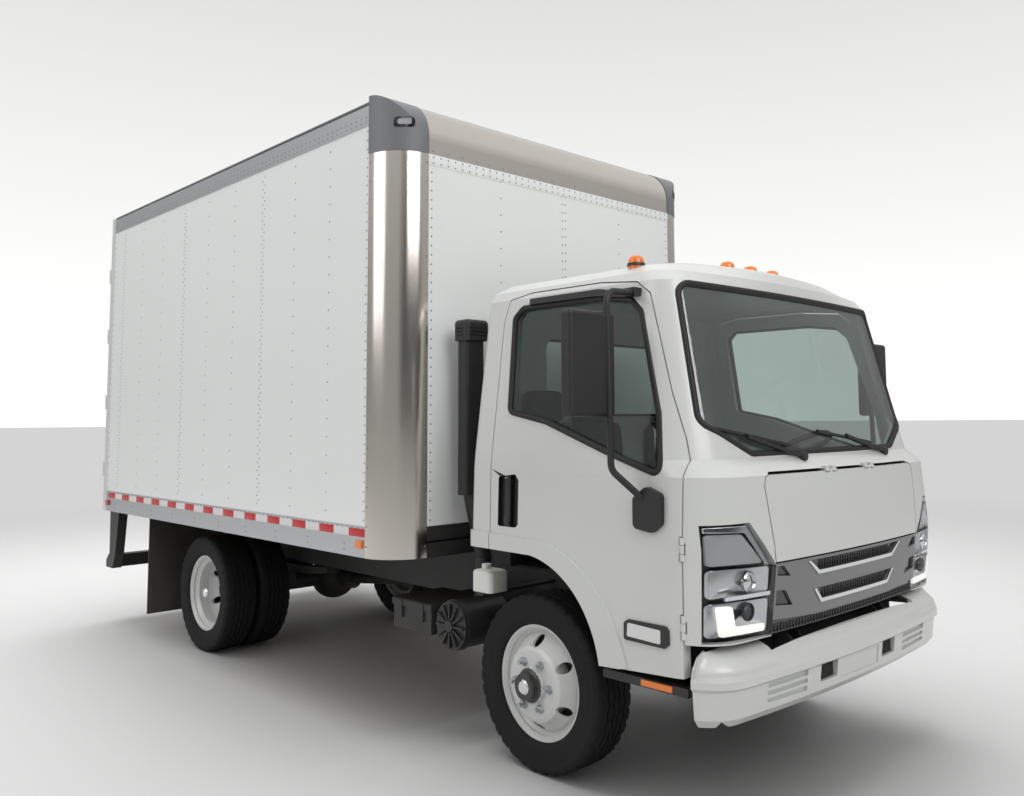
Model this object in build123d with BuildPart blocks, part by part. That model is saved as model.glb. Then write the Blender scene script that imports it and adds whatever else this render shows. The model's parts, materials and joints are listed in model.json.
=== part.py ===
"""A low cab-forward box truck, built as separate named pieces in millimetres.

Everything is drawn with x measured forward from the front axle, y to the left and z up from the
ground; save() then shifts each piece so that the origin lies at mid length.
"""

import os
from math import asin, cos, radians, sin, sqrt

from build123d import *

os.makedirs("parts", exist_ok=True)

# Whole truck
WHEELBASE = 3365
FRONT_OVERHANG = 1155
REAR_OVERHANG = 1592
SEAT_GAP = 0.3  # between pieces that sit on each other on round or cut faces
MOVE_GAP = 6  # between a moving piece and its surround
FRONT_AXLE_X = (WHEELBASE + REAR_OVERHANG - FRONT_OVERHANG) / 2

# Tyres and wheels
TYRE_R = 405
TYRE_W = 226
AXLE_Z = TYRE_R
RIM_R = 262
RIM_HALF = 87
WHEEL_OUTSET = 127
HUB_BORE_R = 82
FRONT_TRACK = 1665
REAR_TRACK = 1650
STUD_PCD = 222.25
SPINDLE_R = 35
REAR_SPINDLE_R = 42

# Steering
KINGPIN_Y = 745
KINGPIN_R = 20
EYE_R = 38
EYE_HALF = 45
EAR_T = 40
ARM_LENGTH = 150
TIE_PIN_R = 10

# Ladder frame
FRAME_WIDTH = 851
RAIL_H = 216
RAIL_FLANGE = 70
RAIL_T = 7
FRAME_TOP = 800
FRAME_FRONT = 930
FRAME_REAR = -4880
TUBE_R = 45
FRAME_BOTTOM = FRAME_TOP - RAIL_H
RAIL_OUT = FRAME_WIDTH / 2
RAIL_IN = RAIL_OUT - RAIL_FLANGE

# Load body
BOX_FRONT = -737
BOX_LENGTH = 4160
BOX_WIDTH = 2500
WALL_T = 40
CORNER_R = 228
RAIL_LOW_Z = 913
RAIL_TOP_Z = 1074
TOP_RAIL_Z = 3215
BOX_TOP_Z = 3344
HEADER_Z = 3056
HEADER_TOP_Z = 3370
FLOOR_Z = 1050
FLOOR_T = 35
CAP_PROUD = 4
FRAME_DEPTH = 70
POST_W = 110
SILL_PITCH = 403
BOX_REAR = BOX_FRONT - BOX_LENGTH
BOX_HALF = BOX_WIDTH / 2
CORNER_X = BOX_FRONT - CORNER_R
CORNER_Y = BOX_HALF - CORNER_R
INNER_HALF = BOX_HALF - WALL_T - 4
CROSS_TOP = FLOOR_Z - FLOOR_T
CROSS_LOW = CROSS_TOP - 110
DOOR_FRAME_X = BOX_REAR + FRAME_DEPTH

# Cab
CAB_WALL = 45
BOW_R = 8600
CAB_LOW_Z = 745
CAB_BACK = -400
ROOF_SEAM_Z = 2246
COWL_SEAM_Z = 1400
DOOR_EDGE_X = 917
DOOR_HINGE_Y = 1014.5
LID_HINGE_X = 1112
LID_HINGE_Z = 1391
PIVOT_X = 1064
PIVOT_Z = 640
PIVOT_R = 14
ROOF_LEVEL = 2215
ROOF_TOP = 2340

CAB_LEVELS = (  # height, front, half_width, corner_radius, back, bow_radius
    (560, 1092, 1018, 180, CAB_BACK, BOW_R),
    (745, 1110, 1020, 200, CAB_BACK, BOW_R),
    (1030, 1142, 1020, 240, CAB_BACK, BOW_R),
    (1110, 1142, 1020, 240, CAB_BACK, BOW_R),
    (1388, 1116, 1012, 232, CAB_BACK, BOW_R),
    (1455, 1032, 1006, 225, CAB_BACK, BOW_R),
    (ROOF_LEVEL, 840, 905, 150, CAB_BACK, BOW_R),
    (2262, 834, 882, 145, CAB_BACK + 5, 4200),
    (2306, 812, 800, 140, CAB_BACK + 35, 1900),
    (ROOF_TOP, 720, 620, 130, CAB_BACK + 110, 1500),
)


def save(name, part):
    """Shifts a piece to the truck's own origin and writes it."""
    placed = part.moved(Location((FRONT_AXLE_X, 0, 0)))
    placed.label = name
    export_step(placed, f"parts/{name}.step")


def outline(plane, points, radius=0):
    """A closed face through points, its corners rounded where a radius is given."""
    with BuildSketch(plane) as face:
        with BuildLine():
            if radius:
                FilletPolyline(*points, radius=radius, close=True)
            else:
                Polyline(*points, close=True)
        make_face()
    return face.sketch


def side_prism(points, y_low, y_high, radius=0, grow=0):
    """An outline in side view (x, z) drawn out from y_low to y_high."""
    face = outline(Plane.XZ.offset(-y_high), points, radius)
    if grow:
        face = offset(face, amount=grow, kind=Kind.INTERSECTION)
    return extrude(face, amount=y_high - y_low)


def front_prism(points, x_low, x_high, radius=0, grow=0):
    """An outline in front view (y, z) drawn out from x_low to x_high."""
    face = outline(Plane.YZ.offset(x_low), points, radius)
    if grow:
        face = offset(face, amount=grow, kind=Kind.INTERSECTION)
    return extrude(face, amount=x_high - x_low)


def block(x, y, z, mode=Mode.ADD):
    """A box between pairs of limits, in the part being built."""
    with Locations((sum(x) / 2, sum(y) / 2, sum(z) / 2)):
        Box(abs(x[1] - x[0]), abs(y[1] - y[0]), abs(z[1] - z[0]), mode=mode)


def slab(x, y, z):
    """A box between pairs of limits, as a piece of its own."""
    with BuildPart() as piece:
        block(x, y, z)
    return piece.part


def rod(points, radius):
    """A round bar along a run of points, with ball corners."""
    with BuildPart() as bar:
        for start, end in zip(points, points[1:]):
            run = Vector(end) - Vector(start)
            with Locations(Plane(origin=start, z_dir=run)):
                Cylinder(radius, run.length, align=(Align.CENTER, Align.CENTER, Align.MIN))
        for corner in points[1:-1]:
            with Locations(corner):
                Sphere(radius)
    return bar.part


def bent_tube(points, radius, bend):
    """A round tube along a run of points, with its corners bent to a radius."""
    with BuildPart() as tube:
        with BuildLine() as path:
            FilletPolyline(*points, radius=bend)
        with BuildSketch(Plane(origin=path.line @ 0, z_dir=path.line % 0)):
            Circle(radius)
        sweep(path=path.line)
    return tube.part


def y_cylinder(x, z, radius, y_low, y_high):
    """A round bar across the truck."""
    return rod([(x, y_low, z), (x, y_high, z)], radius)


def flipped(points, side):
    """The same front-view outline on the left (side 1) or the right (side -1)."""
    return [(side * y, z) for y, z in points]


def cab_plan(height, front, half_width, corner, back, bow):
    """One level of the cab: bowed front, round corners, straight sides and back."""
    bow_y = (half_width - corner) / (1 - corner / bow)
    lean = asin(bow_y / bow)
    bow_x = front - (bow - sqrt(bow**2 - bow_y**2))
    centre_x = bow_x - corner * cos(lean)
    centre_y = bow_y - corner * sin(lean)
    middle = (lean + radians(90)) / 2
    mid_x = centre_x + corner * cos(middle)
    mid_y = centre_y + corner * sin(middle)
    tail = 60
    cut = tail * (1 - sin(radians(45)))
    with BuildSketch(Plane.XY.offset(height)) as level:
        with BuildLine():
            ThreePointArc((bow_x, -bow_y), (front, 0), (bow_x, bow_y))
            ThreePointArc((bow_x, bow_y), (mid_x, mid_y), (centre_x, half_width))
            Line((centre_x, half_width), (back + tail, half_width))
            ThreePointArc(
                (back + tail, half_width), (back + cut, half_width - cut), (back, half_width - tail)
            )
            Line((back, half_width - tail), (back, tail - half_width))
            ThreePointArc(
                (back, tail - half_width), (back + cut, cut - half_width), (back + tail, -half_width)
            )
            Line((back + tail, -half_width), (centre_x, -half_width))
            ThreePointArc((centre_x, -half_width), (mid_x, -mid_y), (bow_x, -bow_y))
        make_face()
    return level.sketch


def cab_volume(inset=0):
    """The cab's outer form, or the same form drawn in by inset."""
    levels = []
    for height, front, half_width, corner, back, bow in CAB_LEVELS:
        rise = max(0, height - ROOF_LEVEL) / (ROOF_TOP - ROOF_LEVEL)
        level_z = height - inset * rise
        if height == CAB_LEVELS[0][0] and inset:
            level_z = height - 20
        levels.append(
            cab_plan(
                level_z,
                front - inset,
                half_width - inset,
                corner - inset,
                back + inset,
                bow - inset,
            )
        )
    return loft(levels, ruled=True)


# Ladder frame with the front brackets that carry the cab's tilt pins
RAIL_SECTION = [
    (RAIL_OUT, FRAME_BOTTOM),
    (RAIL_OUT, FRAME_TOP),
    (RAIL_IN, FRAME_TOP),
    (RAIL_IN, FRAME_TOP - RAIL_T),
    (RAIL_OUT - RAIL_T, FRAME_TOP - RAIL_T),
    (RAIL_OUT - RAIL_T, FRAME_BOTTOM + RAIL_T),
    (RAIL_IN, FRAME_BOTTOM + RAIL_T),
    (RAIL_IN, FRAME_BOTTOM),
]
BRACKET_SIDE = [
    (PIVOT_X - 280, FRAME_BOTTOM + 20),
    (PIVOT_X - 280, FRAME_TOP - 10),
    (FRAME_FRONT, FRAME_TOP - 10),
    (PIVOT_X, PIVOT_Z + 28),
    (PIVOT_X + 22, PIVOT_Z + 18),
    (PIVOT_X + 22, PIVOT_Z - 24),
    (PIVOT_X - 60, FRAME_BOTTOM + 20),
]
BRACKET_T = 12
BOTTLE_X = -420
BOTTLE_Y = -860
BOTTLE_Z = 765
TUBE_PLACES = (860, -1040, -1640, -2440, -3365, -4200, -4840)
rail_left = front_prism(RAIL_SECTION, FRAME_REAR, FRAME_FRONT)
rail_right = front_prism(flipped(RAIL_SECTION, -1), FRAME_REAR, FRAME_FRONT)
with BuildPart() as ladder_frame:
    add(rail_left)
    add(rail_right)
    for place in TUBE_PLACES:
        add(y_cylinder(place, FRAME_TOP - 10 - TUBE_R, TUBE_R, RAIL_T - RAIL_OUT, RAIL_OUT - RAIL_T))
    for side in (1, -1):
        for inner in (RAIL_IN - BRACKET_T, RAIL_OUT):
            ends = sorted((side * inner, side * (inner + BRACKET_T)))
            add(side_prism(BRACKET_SIDE, ends[0], ends[1]))
        ends = sorted((side * (RAIL_IN - BRACKET_T), side * (RAIL_OUT + BRACKET_T)))
        add(y_cylinder(PIVOT_X, PIVOT_Z, PIVOT_R, ends[0], ends[1]))
    block((BOTTLE_X - 25, BOTTLE_X + 25), (BOTTLE_Y - 70, -RAIL_OUT + 2), (BOTTLE_Z - 14, BOTTLE_Z))
save("ladder_frame", ladder_frame.part)

# Coolant bottle on the outrigger behind the front wheel
with BuildPart() as coolant_bottle:
    with BuildSketch(Plane.XY.offset(BOTTLE_Z)):
        with Locations((BOTTLE_X, BOTTLE_Y)):
            RectangleRounded(150, 130, 28)
    extrude(amount=105)
    fillet(coolant_bottle.faces().sort_by(Axis.Z)[-1].edges(), 16)
    with Locations((BOTTLE_X - 30, BOTTLE_Y, BOTTLE_Z + 115)):
        Cylinder(24, 30)
save("coolant_bottle", coolant_bottle.part)

# Front axle beam with its kingpins
BEAM_FRONT = [
    (-KINGPIN_Y, AXLE_Z + 35),
    (-600, AXLE_Z + 25),
    (-520, AXLE_Z - 33),
    (520, AXLE_Z - 33),
    (600, AXLE_Z + 25),
    (KINGPIN_Y, AXLE_Z + 35),
    (KINGPIN_Y, AXLE_Z - 35),
    (620, AXLE_Z - 45),
    (540, AXLE_Z - 105),
    (-540, AXLE_Z - 105),
    (-620, AXLE_Z - 45),
    (-KINGPIN_Y, AXLE_Z - 35),
]
beam = front_prism(BEAM_FRONT, -30, 30)
with BuildPart() as front_axle:
    add(beam)
    for side in (1, -1):
        with Locations((0, side * KINGPIN_Y, AXLE_Z)):
            Cylinder(EYE_R, 2 * EYE_HALF)
            Cylinder(KINGPIN_R, 2 * (EYE_HALF + EAR_T + 2))
save("front_axle", front_axle.part)

# Steering knuckles: two ears on the kingpin, a web, the spindle and a steering arm
WEB_Y = (50, 75)
SPINDLE_END = FRONT_TRACK / 2 - KINGPIN_Y + 155
EAR_Z = EYE_HALF + 1
for side, name in ((1, "knuckle_left"), (-1, "knuckle_right")):
    pin_y = side * KINGPIN_Y
    spindle_ends = sorted((pin_y + side * WEB_Y[0], pin_y + side * SPINDLE_END))
    spindle = y_cylinder(0, AXLE_Z, SPINDLE_R, spindle_ends[0], spindle_ends[1])
    with BuildPart() as knuckle:
        for level in (EAR_Z, -EAR_Z - EAR_T):
            low = AXLE_Z + level
            with Locations((0, pin_y, low + EAR_T / 2)):
                Cylinder(EYE_R + 4, EAR_T)
            block((-EYE_R - 4, EYE_R + 4), (pin_y, pin_y + side * WEB_Y[1]), (low, low + EAR_T))
        top = EAR_Z + EAR_T
        block((-45, 45), (pin_y + side * WEB_Y[0], pin_y + side * WEB_Y[1]), (AXLE_Z - top, AXLE_Z + top))
        arm_low = AXLE_Z - EAR_Z - EAR_T + 6
        block((-ARM_LENGTH, 0), (pin_y - 20, pin_y + 20), (arm_low, arm_low + 28))
        with Locations((-ARM_LENGTH, pin_y, arm_low + 14)):
            Cylinder(22, 28)
        with Locations((-ARM_LENGTH, pin_y, arm_low - 14)):
            Cylinder(TIE_PIN_R, 30)
        add(spindle)
        with Locations((0, pin_y, AXLE_Z)):
            Cylinder(KINGPIN_R + SEAT_GAP, 400, mode=Mode.SUBTRACT)
    save(name, knuckle.part)
TIE_Z = AXLE_Z - EAR_Z - EAR_T + 6 - 16
tie_bar = y_cylinder(-ARM_LENGTH, TIE_Z, 12, -KINGPIN_Y, KINGPIN_Y)
with BuildPart() as tie_rod:
    add(tie_bar)
    for side in (1, -1):
        with Locations((-ARM_LENGTH, side * KINGPIN_Y, TIE_Z)):
            Cylinder(22, 28)
    for side in (1, -1):
        with Locations((-ARM_LENGTH, side * KINGPIN_Y, TIE_Z)):
            Cylinder(TIE_PIN_R + SEAT_GAP, 60, mode=Mode.SUBTRACT)
save("tie_rod", tie_rod.part)


# Tyres and wheels, turned about the axle line
def tyre(y):
    """A tyre centred at y on an axle through the origin."""
    half = TYRE_W / 2
    right = [(RIM_R + SEAT_GAP, RIM_HALF), (345, half), (386, half - 4), (TYRE_R, half - 25)]
    points = [(r, y + w) for r, w in right] + [(r, y - w) for r, w in reversed(right)]
    return revolve(outline(Plane.XY, points), axis=Axis.Y)


def wheel(y, out):
    """A steel wheel centred at y, its disc dished towards out (1 left, -1 right)."""
    barrel = [(RIM_R, RIM_HALF), (248, 76), (248, 54), (224, 34)]
    outer = [(r, w) for r, w in barrel] + [(r, -w) for r, w in reversed(barrel)]
    hollow = [(RIM_R - 8, RIM_HALF), (240, 70), (240, 58), (216, 38)]
    inner = [(r, -w) for r, w in hollow] + [(r, w) for r, w in reversed(hollow)]
    dish = [
        (222, 18),
        (203, 58),
        (164, WHEEL_OUTSET - 19),
        (148, WHEEL_OUTSET - 10),
        (HUB_BORE_R, WHEEL_OUTSET - 10),
        (HUB_BORE_R, WHEEL_OUTSET),
        (151, WHEEL_OUTSET),
        (171, WHEEL_OUTSET - 9),
        (212, 62),
        (222, 44),
    ]
    ring = outline(Plane.XY, [(r, y + w) for r, w in outer + inner])
    disc = outline(Plane.XY, [(r, y + out * w) for r, w in dish])
    with BuildPart() as steel:
        add(revolve(ring, axis=Axis.Y))
        add(revolve(disc, axis=Axis.Y))
        with Locations(Plane.XZ):
            with PolarLocations(190, 6, start_angle=30):
                Cylinder(25, 4000, mode=Mode.SUBTRACT)
            with PolarLocations(STUD_PCD / 2, 6):
                Cylinder(11, 4000, mode=Mode.SUBTRACT)
    return steel.part


def hub(points, y, side):
    """A hub turned from (radius, width) points, placed at y."""
    return revolve(outline(Plane.XY, [(r, y + side * w) for r, w in points]), axis=Axis.Y)


FRONT_HUB = [
    (SPINDLE_R + SEAT_GAP, 8),
    (158, 8),
    (158, 104),
    (150, WHEEL_OUTSET - 10 - SEAT_GAP),
    (HUB_BORE_R - SEAT_GAP, WHEEL_OUTSET - 10 - SEAT_GAP),
    (HUB_BORE_R - SEAT_GAP, 146),
    (60, 156),
    (60, 186),
    (0, 186),
    (0, 158),
    (SPINDLE_R + SEAT_GAP, 158),
]
DUAL = WHEEL_OUTSET + SEAT_GAP / 2
REAR_HUB = [
    (REAR_SPINDLE_R + SEAT_GAP, -120),
    (158, -120),
    (158, -24),
    (150, -10 - 1.5 * SEAT_GAP),
    (HUB_BORE_R - SEAT_GAP, -10 - 1.5 * SEAT_GAP),
    (HUB_BORE_R - SEAT_GAP, 40),
    (66, 48),
    (66, 84),
    (0, 84),
    (0, 60),
    (REAR_SPINDLE_R + SEAT_GAP, 60),
]
for side, hand in ((1, "left"), (-1, "right")):
    mid = side * FRONT_TRACK / 2
    axle = Pos(0, 0, AXLE_Z)
    rubber = axle * tyre(mid)
    steel = [axle * wheel(mid, side), axle * hub(FRONT_HUB, mid, side)]
    save(f"tyre_front_{hand}", rubber)
    save(f"wheel_front_{hand}", Compound(children=steel))
    axle = Pos(-WHEELBASE, 0, AXLE_Z)
    mid = side * REAR_TRACK / 2
    pair = [axle * tyre(mid - DUAL), axle * tyre(mid + DUAL)]
    steel = [
        axle * wheel(mid - side * DUAL, side),
        axle * wheel(mid + side * DUAL, -side),
        axle * hub(REAR_HUB, mid, side),
    ]
    save(f"tyres_rear_{hand}", Compound(children=pair))
    save(f"wheels_rear_{hand}", Compound(children=steel))

# Rear axle, springs and driveline
REAR_SPRING_Z = AXLE_Z + 85
with BuildPart() as rear_axle:
    add(y_cylinder(-WHEELBASE, AXLE_Z, 66, -REAR_TRACK / 2 + 130, REAR_TRACK / 2 - 130))
    add(y_cylinder(-WHEELBASE, AXLE_Z, REAR_SPINDLE_R, -REAR_TRACK / 2 - 56, REAR_TRACK / 2 + 56))
    with Locations((-WHEELBASE, 0, AXLE_Z)):
        Sphere(178)
    add(rod([(-WHEELBASE, 0, AXLE_Z), (-WHEELBASE + 300, 0, AXLE_Z)], 70))
    for side in (1, -1):
        block((-WHEELBASE - 70, -WHEELBASE + 70), (side * 370, side * 440), (AXLE_Z, REAR_SPRING_Z))
save("rear_axle", rear_axle.part)

SPRINGS = (  # centre_x, half_length, seat_z, thickness
    (0, 560, AXLE_Z - 33, 56),
    (-WHEELBASE, 640, REAR_SPRING_Z, 62),
)
with BuildPart() as leaf_springs:
    for centre, reach, seat, thick in SPRINGS:
        tip = FRAME_BOTTOM - SEAT_GAP
        for low in (-440, 370):
            with BuildSketch(Plane.XZ.offset(-low - 70)):
                with BuildLine():
                    ThreePointArc((centre - reach, tip - 44), (centre, seat), (centre + reach, tip - 44))
                    Line((centre + reach, tip - 44), (centre + reach, tip))
                    ThreePointArc((centre + reach, tip), (centre, seat + thick), (centre - reach, tip))
                    Line((centre - reach, tip), (centre - reach, tip - 44))
                make_face()
            extrude(amount=70)
save("leaf_springs", leaf_springs.part)

with BuildPart() as engine:
    block((-350, 425), (-260, 260), (480, 930))
    block((-950, -350), (-170, 170), (500, 780))
    for side in (1, -1):
        block((-60, 60), (side * 250, side * (RAIL_OUT - RAIL_T)), (640, 700))
save("engine", engine.part)
save("propshaft", rod([(-954.6, 0, 640), (-WHEELBASE + 304.6, 0, AXLE_Z + 10)], 42))

with BuildPart() as exhaust:
    add(rod([(-1450, 620, 540), (-2050, 620, 540)], 105))
    add(rod([(-950, 520, 560), (-1100, 620, 540), (-2500, 620, 540), (-2560, 1150, 520)], 32))
    block((-1780, -1720), (RAIL_OUT + SEAT_GAP, 620), (590, 640))
save("exhaust", exhaust.part)

with BuildPart() as fuel_tank:
    block((-4650, -3750), (-335, 335), (430, FRAME_TOP - 10 - 2 * TUBE_R - SEAT_GAP))
    fillet(fuel_tank.edges().filter_by(Axis.Y), 60)
save("fuel_tank", fuel_tank.part)

with BuildPart() as battery_box:
    block((-1130, -790), (-952, -RAIL_OUT - SEAT_GAP), (500, 625))
    block((-1138, -782), (-960, -600), (620, 661))
    fillet(battery_box.edges().filter_by(Axis.X).group_by(Axis.Z)[-1], 14)
    block((-1070, -1040), (-964, -950), (560, 650))
    block((-880, -850), (-964, -950), (560, 650))
save("battery_box", battery_box.part)

CLEANER_X = -632
CLEANER_Z = 572
CLEANER_R = 122
DUCT_Y = -853
with BuildPart() as air_intake:
    add(y_cylinder(CLEANER_X, CLEANER_Z, CLEANER_R, -945, -640))
    add(y_cylinder(CLEANER_X, CLEANER_Z, CLEANER_R + 7, -925, -900))
    with Locations(Plane(origin=(CLEANER_X, -945, CLEANER_Z), z_dir=(0, -1, 0))):
        with PolarLocations(72, 12):
            Box(76, 11, 30)
        Cylinder(30, 36)
    block((CLEANER_X - 30, CLEANER_X + 30), (-660, -RAIL_OUT - SEAT_GAP), (600, 660))
    add(rod([(-655, -720, 600), (-640, -720, 900), (-586, DUCT_Y, 1270)], 45))
    with BuildSketch(Plane.XY.offset(1236)):
        with Locations((-586, DUCT_Y)):
            RectangleRounded(83, 130, 24)
    extrude(amount=834)
    with BuildSketch(Plane.XY.offset(2040)):
        with Locations((-581, DUCT_Y)):
            RectangleRounded(118, 157, 26)
    extrude(amount=111)
    fillet(air_intake.faces().sort_by(Axis.Z)[-1].edges(), 22)
    for level in (2062, 2080, 2098):
        block((-530, -500), (DUCT_Y - 60, DUCT_Y + 60), (level, level + 9), mode=Mode.SUBTRACT)
        block((-640, -560), (DUCT_Y - 90, DUCT_Y - 70), (level, level + 9), mode=Mode.SUBTRACT)
save("air_intake", air_intake.part)

# Bumpers and flaps
BUMPER_T = 28
BUMPER_BACK = 964
BUMPER_LEVELS = (  # height, front, half_width, corner_radius
    (440, 1098, 1010, 170),
    (472, 1126, 1026, 184),
    (578, 1138, 1032, 190),
    (592, FRONT_OVERHANG, 1040, 200),
    (618, FRONT_OVERHANG, 1040, 200),
    (662, 1140, 1030, 190),
    (700, 1096, 1012, 165),
    (720, 1046, 990, 130),
)
LOUVRE = [(444, 492), (716, 498), (716, 584), (444, 584)]
LOUVRE_BARS = (514, 544)
TOW_Y = (210, 345)
PLATE_FRONT = [(-170, 492), (170, 492), (170, 574), (-170, 574)]


def bumper_form(inset):
    """The bumper's outer form, or the same form drawn in by inset."""
    lowest, highest = BUMPER_LEVELS[0][0], BUMPER_LEVELS[-1][0]
    levels = []
    for height, front, half_width, corner in BUMPER_LEVELS:
        rise = {lowest: 0.7, highest: -0.43}.get(height, 0) * inset
        back = 500 - inset
        levels.append(
            cab_plan(height + rise, front - inset, half_width - inset, corner - inset, back, BOW_R)
        )
    return loft(levels, ruled=True)


bumper_out = bumper_form(0)
bumper_in = bumper_form(BUMPER_T)
bumper_rim = bumper_out - bumper_form(14)
plate_rim = bumper_out - bumper_form(5)
with BuildPart() as front_bumper:
    add(bumper_out)
    add(bumper_in, mode=Mode.SUBTRACT)
    block((400, BUMPER_BACK), (-1200, 1200), (400, 800), mode=Mode.SUBTRACT)
    block((900, PIVOT_X + 20), (-950, 950), (662, 800), mode=Mode.SUBTRACT)
    block((900, PIVOT_X - 20), (-950, 950), (430, 500), mode=Mode.SUBTRACT)
    for side in (1, -1):
        reach = sorted((side * (RAIL_IN - BRACKET_T - 34), side * (RAIL_IN - BRACKET_T - SEAT_GAP)))
        block((PIVOT_X - 80, FRONT_OVERHANG - 24), reach, (FRAME_BOTTOM + 20, FRAME_BOTTOM + 70))
        block((1050, 1200), (side * TOW_Y[0], side * TOW_Y[1]), (508, 584), mode=Mode.SUBTRACT)
louvres = []
for side in (1, -1):
    pocket = front_prism(flipped(LOUVRE, side), 900, 1300) & bumper_rim
    for level in LOUVRE_BARS:
        pocket = pocket - slab((900, 1300), (-1200, 1200), (level, level + 12))
    louvres.append(pocket)
plate_pocket = front_prism(PLATE_FRONT, 900, 1300) & plate_rim
bumper = front_bumper.part - louvres[0] - louvres[1] - plate_pocket
save("front_bumper", bumper)

LEG_SIDE = [
    (BOX_REAR, CROSS_LOW),
    (BOX_REAR + 200, CROSS_LOW),
    (BOX_REAR + 140, 560),
    (BOX_REAR + 90, 440),
    (BOX_REAR - 60, 440),
    (BOX_REAR - 60, 500),
    (BOX_REAR + 10, 560),
]
with BuildPart() as rear_bumper:
    for side in (1, -1):
        ends = sorted((side * 1120, side * 1190))
        add(side_prism(LEG_SIDE, ends[0], ends[1]))
    block((BOX_REAR - 60, BOX_REAR + 40), (-1120, 1120), (440, 540))
save("rear_bumper", rear_bumper.part)

FLAP_X = BOX_FRONT - 93 - 8 * SILL_PITCH
with BuildPart() as mud_flaps:
    for side in (1, -1):
        block((FLAP_X - 5, FLAP_X + 5), (side * 600, side * 1185), (180, CROSS_LOW))
save("mud_flaps", mud_flaps.part)

# Load body: sills, floor, walls, rails, corner posts, header and roof
with BuildPart() as box_sills:
    for side in (1, -1):
        block((BOX_REAR + 10, BOX_FRONT - 20), (side * RAIL_IN, side * RAIL_OUT), (FRAME_TOP, CROSS_LOW))
    for count in range(10):
        place = BOX_FRONT - 93 - count * SILL_PITCH
        reach = INNER_HALF if count else CORNER_Y
        block((place - 30, place + 30), (-reach, reach), (CROSS_LOW, CROSS_TOP))
    block((DOOR_FRAME_X, DOOR_FRAME_X + 60), (-INNER_HALF, INNER_HALF), (CROSS_LOW, CROSS_TOP))
    block((BOX_FRONT - 63, BOX_FRONT - 30), (-CORNER_Y, CORNER_Y), (CROSS_LOW, CROSS_TOP))
    for low in (RAIL_LOW_Z, RAIL_LOW_Z + 84):
        block((BOX_FRONT - 30, BOX_FRONT), (-CORNER_Y, CORNER_Y), (low, low + 74))
save("box_sills", box_sills.part)

with BuildPart() as box_floor:
    block((DOOR_FRAME_X, CORNER_X), (-INNER_HALF, INNER_HALF), (CROSS_TOP, FLOOR_Z))
    block((CORNER_X, BOX_FRONT - WALL_T), (-CORNER_Y, CORNER_Y), (CROSS_TOP, FLOOR_Z))
    for side in (1, -1):
        with Locations((CORNER_X, side * CORNER_Y, FLOOR_Z - FLOOR_T / 2)):
            Cylinder(INNER_HALF - CORNER_Y, FLOOR_T)
save("box_floor", box_floor.part)

for side, name in ((1, "box_side_left"), (-1, "box_side_right")):
    with BuildPart() as wall:
        block((DOOR_FRAME_X, CORNER_X), (side * INNER_HALF, side * (INNER_HALF + WALL_T)), (RAIL_TOP_Z, TOP_RAIL_Z))
    save(name, wall.part)

LOW_RAIL = [
    (INNER_HALF, RAIL_LOW_Z),
    (BOX_HALF, RAIL_LOW_Z),
    (BOX_HALF, RAIL_TOP_Z - 62),
    (BOX_HALF - 5, RAIL_TOP_Z - 55),
    (BOX_HALF - 5, RAIL_TOP_Z),
    (INNER_HALF, RAIL_TOP_Z),
]
TOP_RAIL = [
    (INNER_HALF - 16, TOP_RAIL_Z),
    (BOX_HALF, TOP_RAIL_Z),
    (BOX_HALF, BOX_TOP_Z - 22),
    (BOX_HALF - 16, BOX_TOP_Z),
    (INNER_HALF - 16, BOX_TOP_Z),
]
rail_parts = [
    front_prism(flipped(section, side), DOOR_FRAME_X, CORNER_X)
    for section in (LOW_RAIL, TOP_RAIL)
    for side in (1, -1)
]
with BuildPart() as box_rails:
    for piece in rail_parts:
        add(piece)
save("box_rails", box_rails.part)

with BuildPart() as box_front:
    block((BOX_FRONT - WALL_T, BOX_FRONT), (-CORNER_Y, CORNER_Y), (RAIL_TOP_Z, HEADER_Z))
save("box_front", box_front.part)

with BuildPart() as box_roof:
    block((DOOR_FRAME_X, CORNER_X), (16 - INNER_HALF, INNER_HALF - 16), (BOX_TOP_Z - 40, BOX_TOP_Z - 2))
save("box_roof", box_roof.part)

with BuildPart() as corner_posts:
    for side in (1, -1):
        with BuildSketch(Plane.XY.offset(RAIL_LOW_Z)):
            with Locations((CORNER_X, side * CORNER_Y)):
                Circle(CORNER_R)
                Circle(CORNER_R - WALL_T, mode=Mode.SUBTRACT)
            with Locations((CORNER_X + CORNER_R / 2, side * (CORNER_Y + CORNER_R / 2))):
                Rectangle(CORNER_R, CORNER_R, mode=Mode.INTERSECT)
        extrude(amount=HEADER_Z - RAIL_LOW_Z)
save("corner_posts", corner_posts.part)


def header_side(proud, thick):
    """The header's rounded front edge in side view, from its lower seam to the roof."""
    front = BOX_FRONT + proud - thick
    top = HEADER_TOP_Z + proud - thick
    radius = CORNER_R + proud - thick
    with BuildSketch(Plane.XZ) as face:
        with BuildLine():
            Line((CORNER_X, HEADER_Z), (front, HEADER_Z))
            Line((front, HEADER_Z), (front, top - radius))
            RadiusArc((front, top - radius), (CORNER_X, top), -radius)
            Line((CORNER_X, top), (CORNER_X, HEADER_Z))
        make_face()
    return face.sketch


header_out = extrude(header_side(0, 0), amount=CORNER_Y, both=True)
header_in = extrude(header_side(0, WALL_T), amount=CORNER_Y, both=True)
with BuildPart() as front_header:
    add(header_out)
    add(header_in, mode=Mode.SUBTRACT)
save("front_header", front_header.part)

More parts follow.
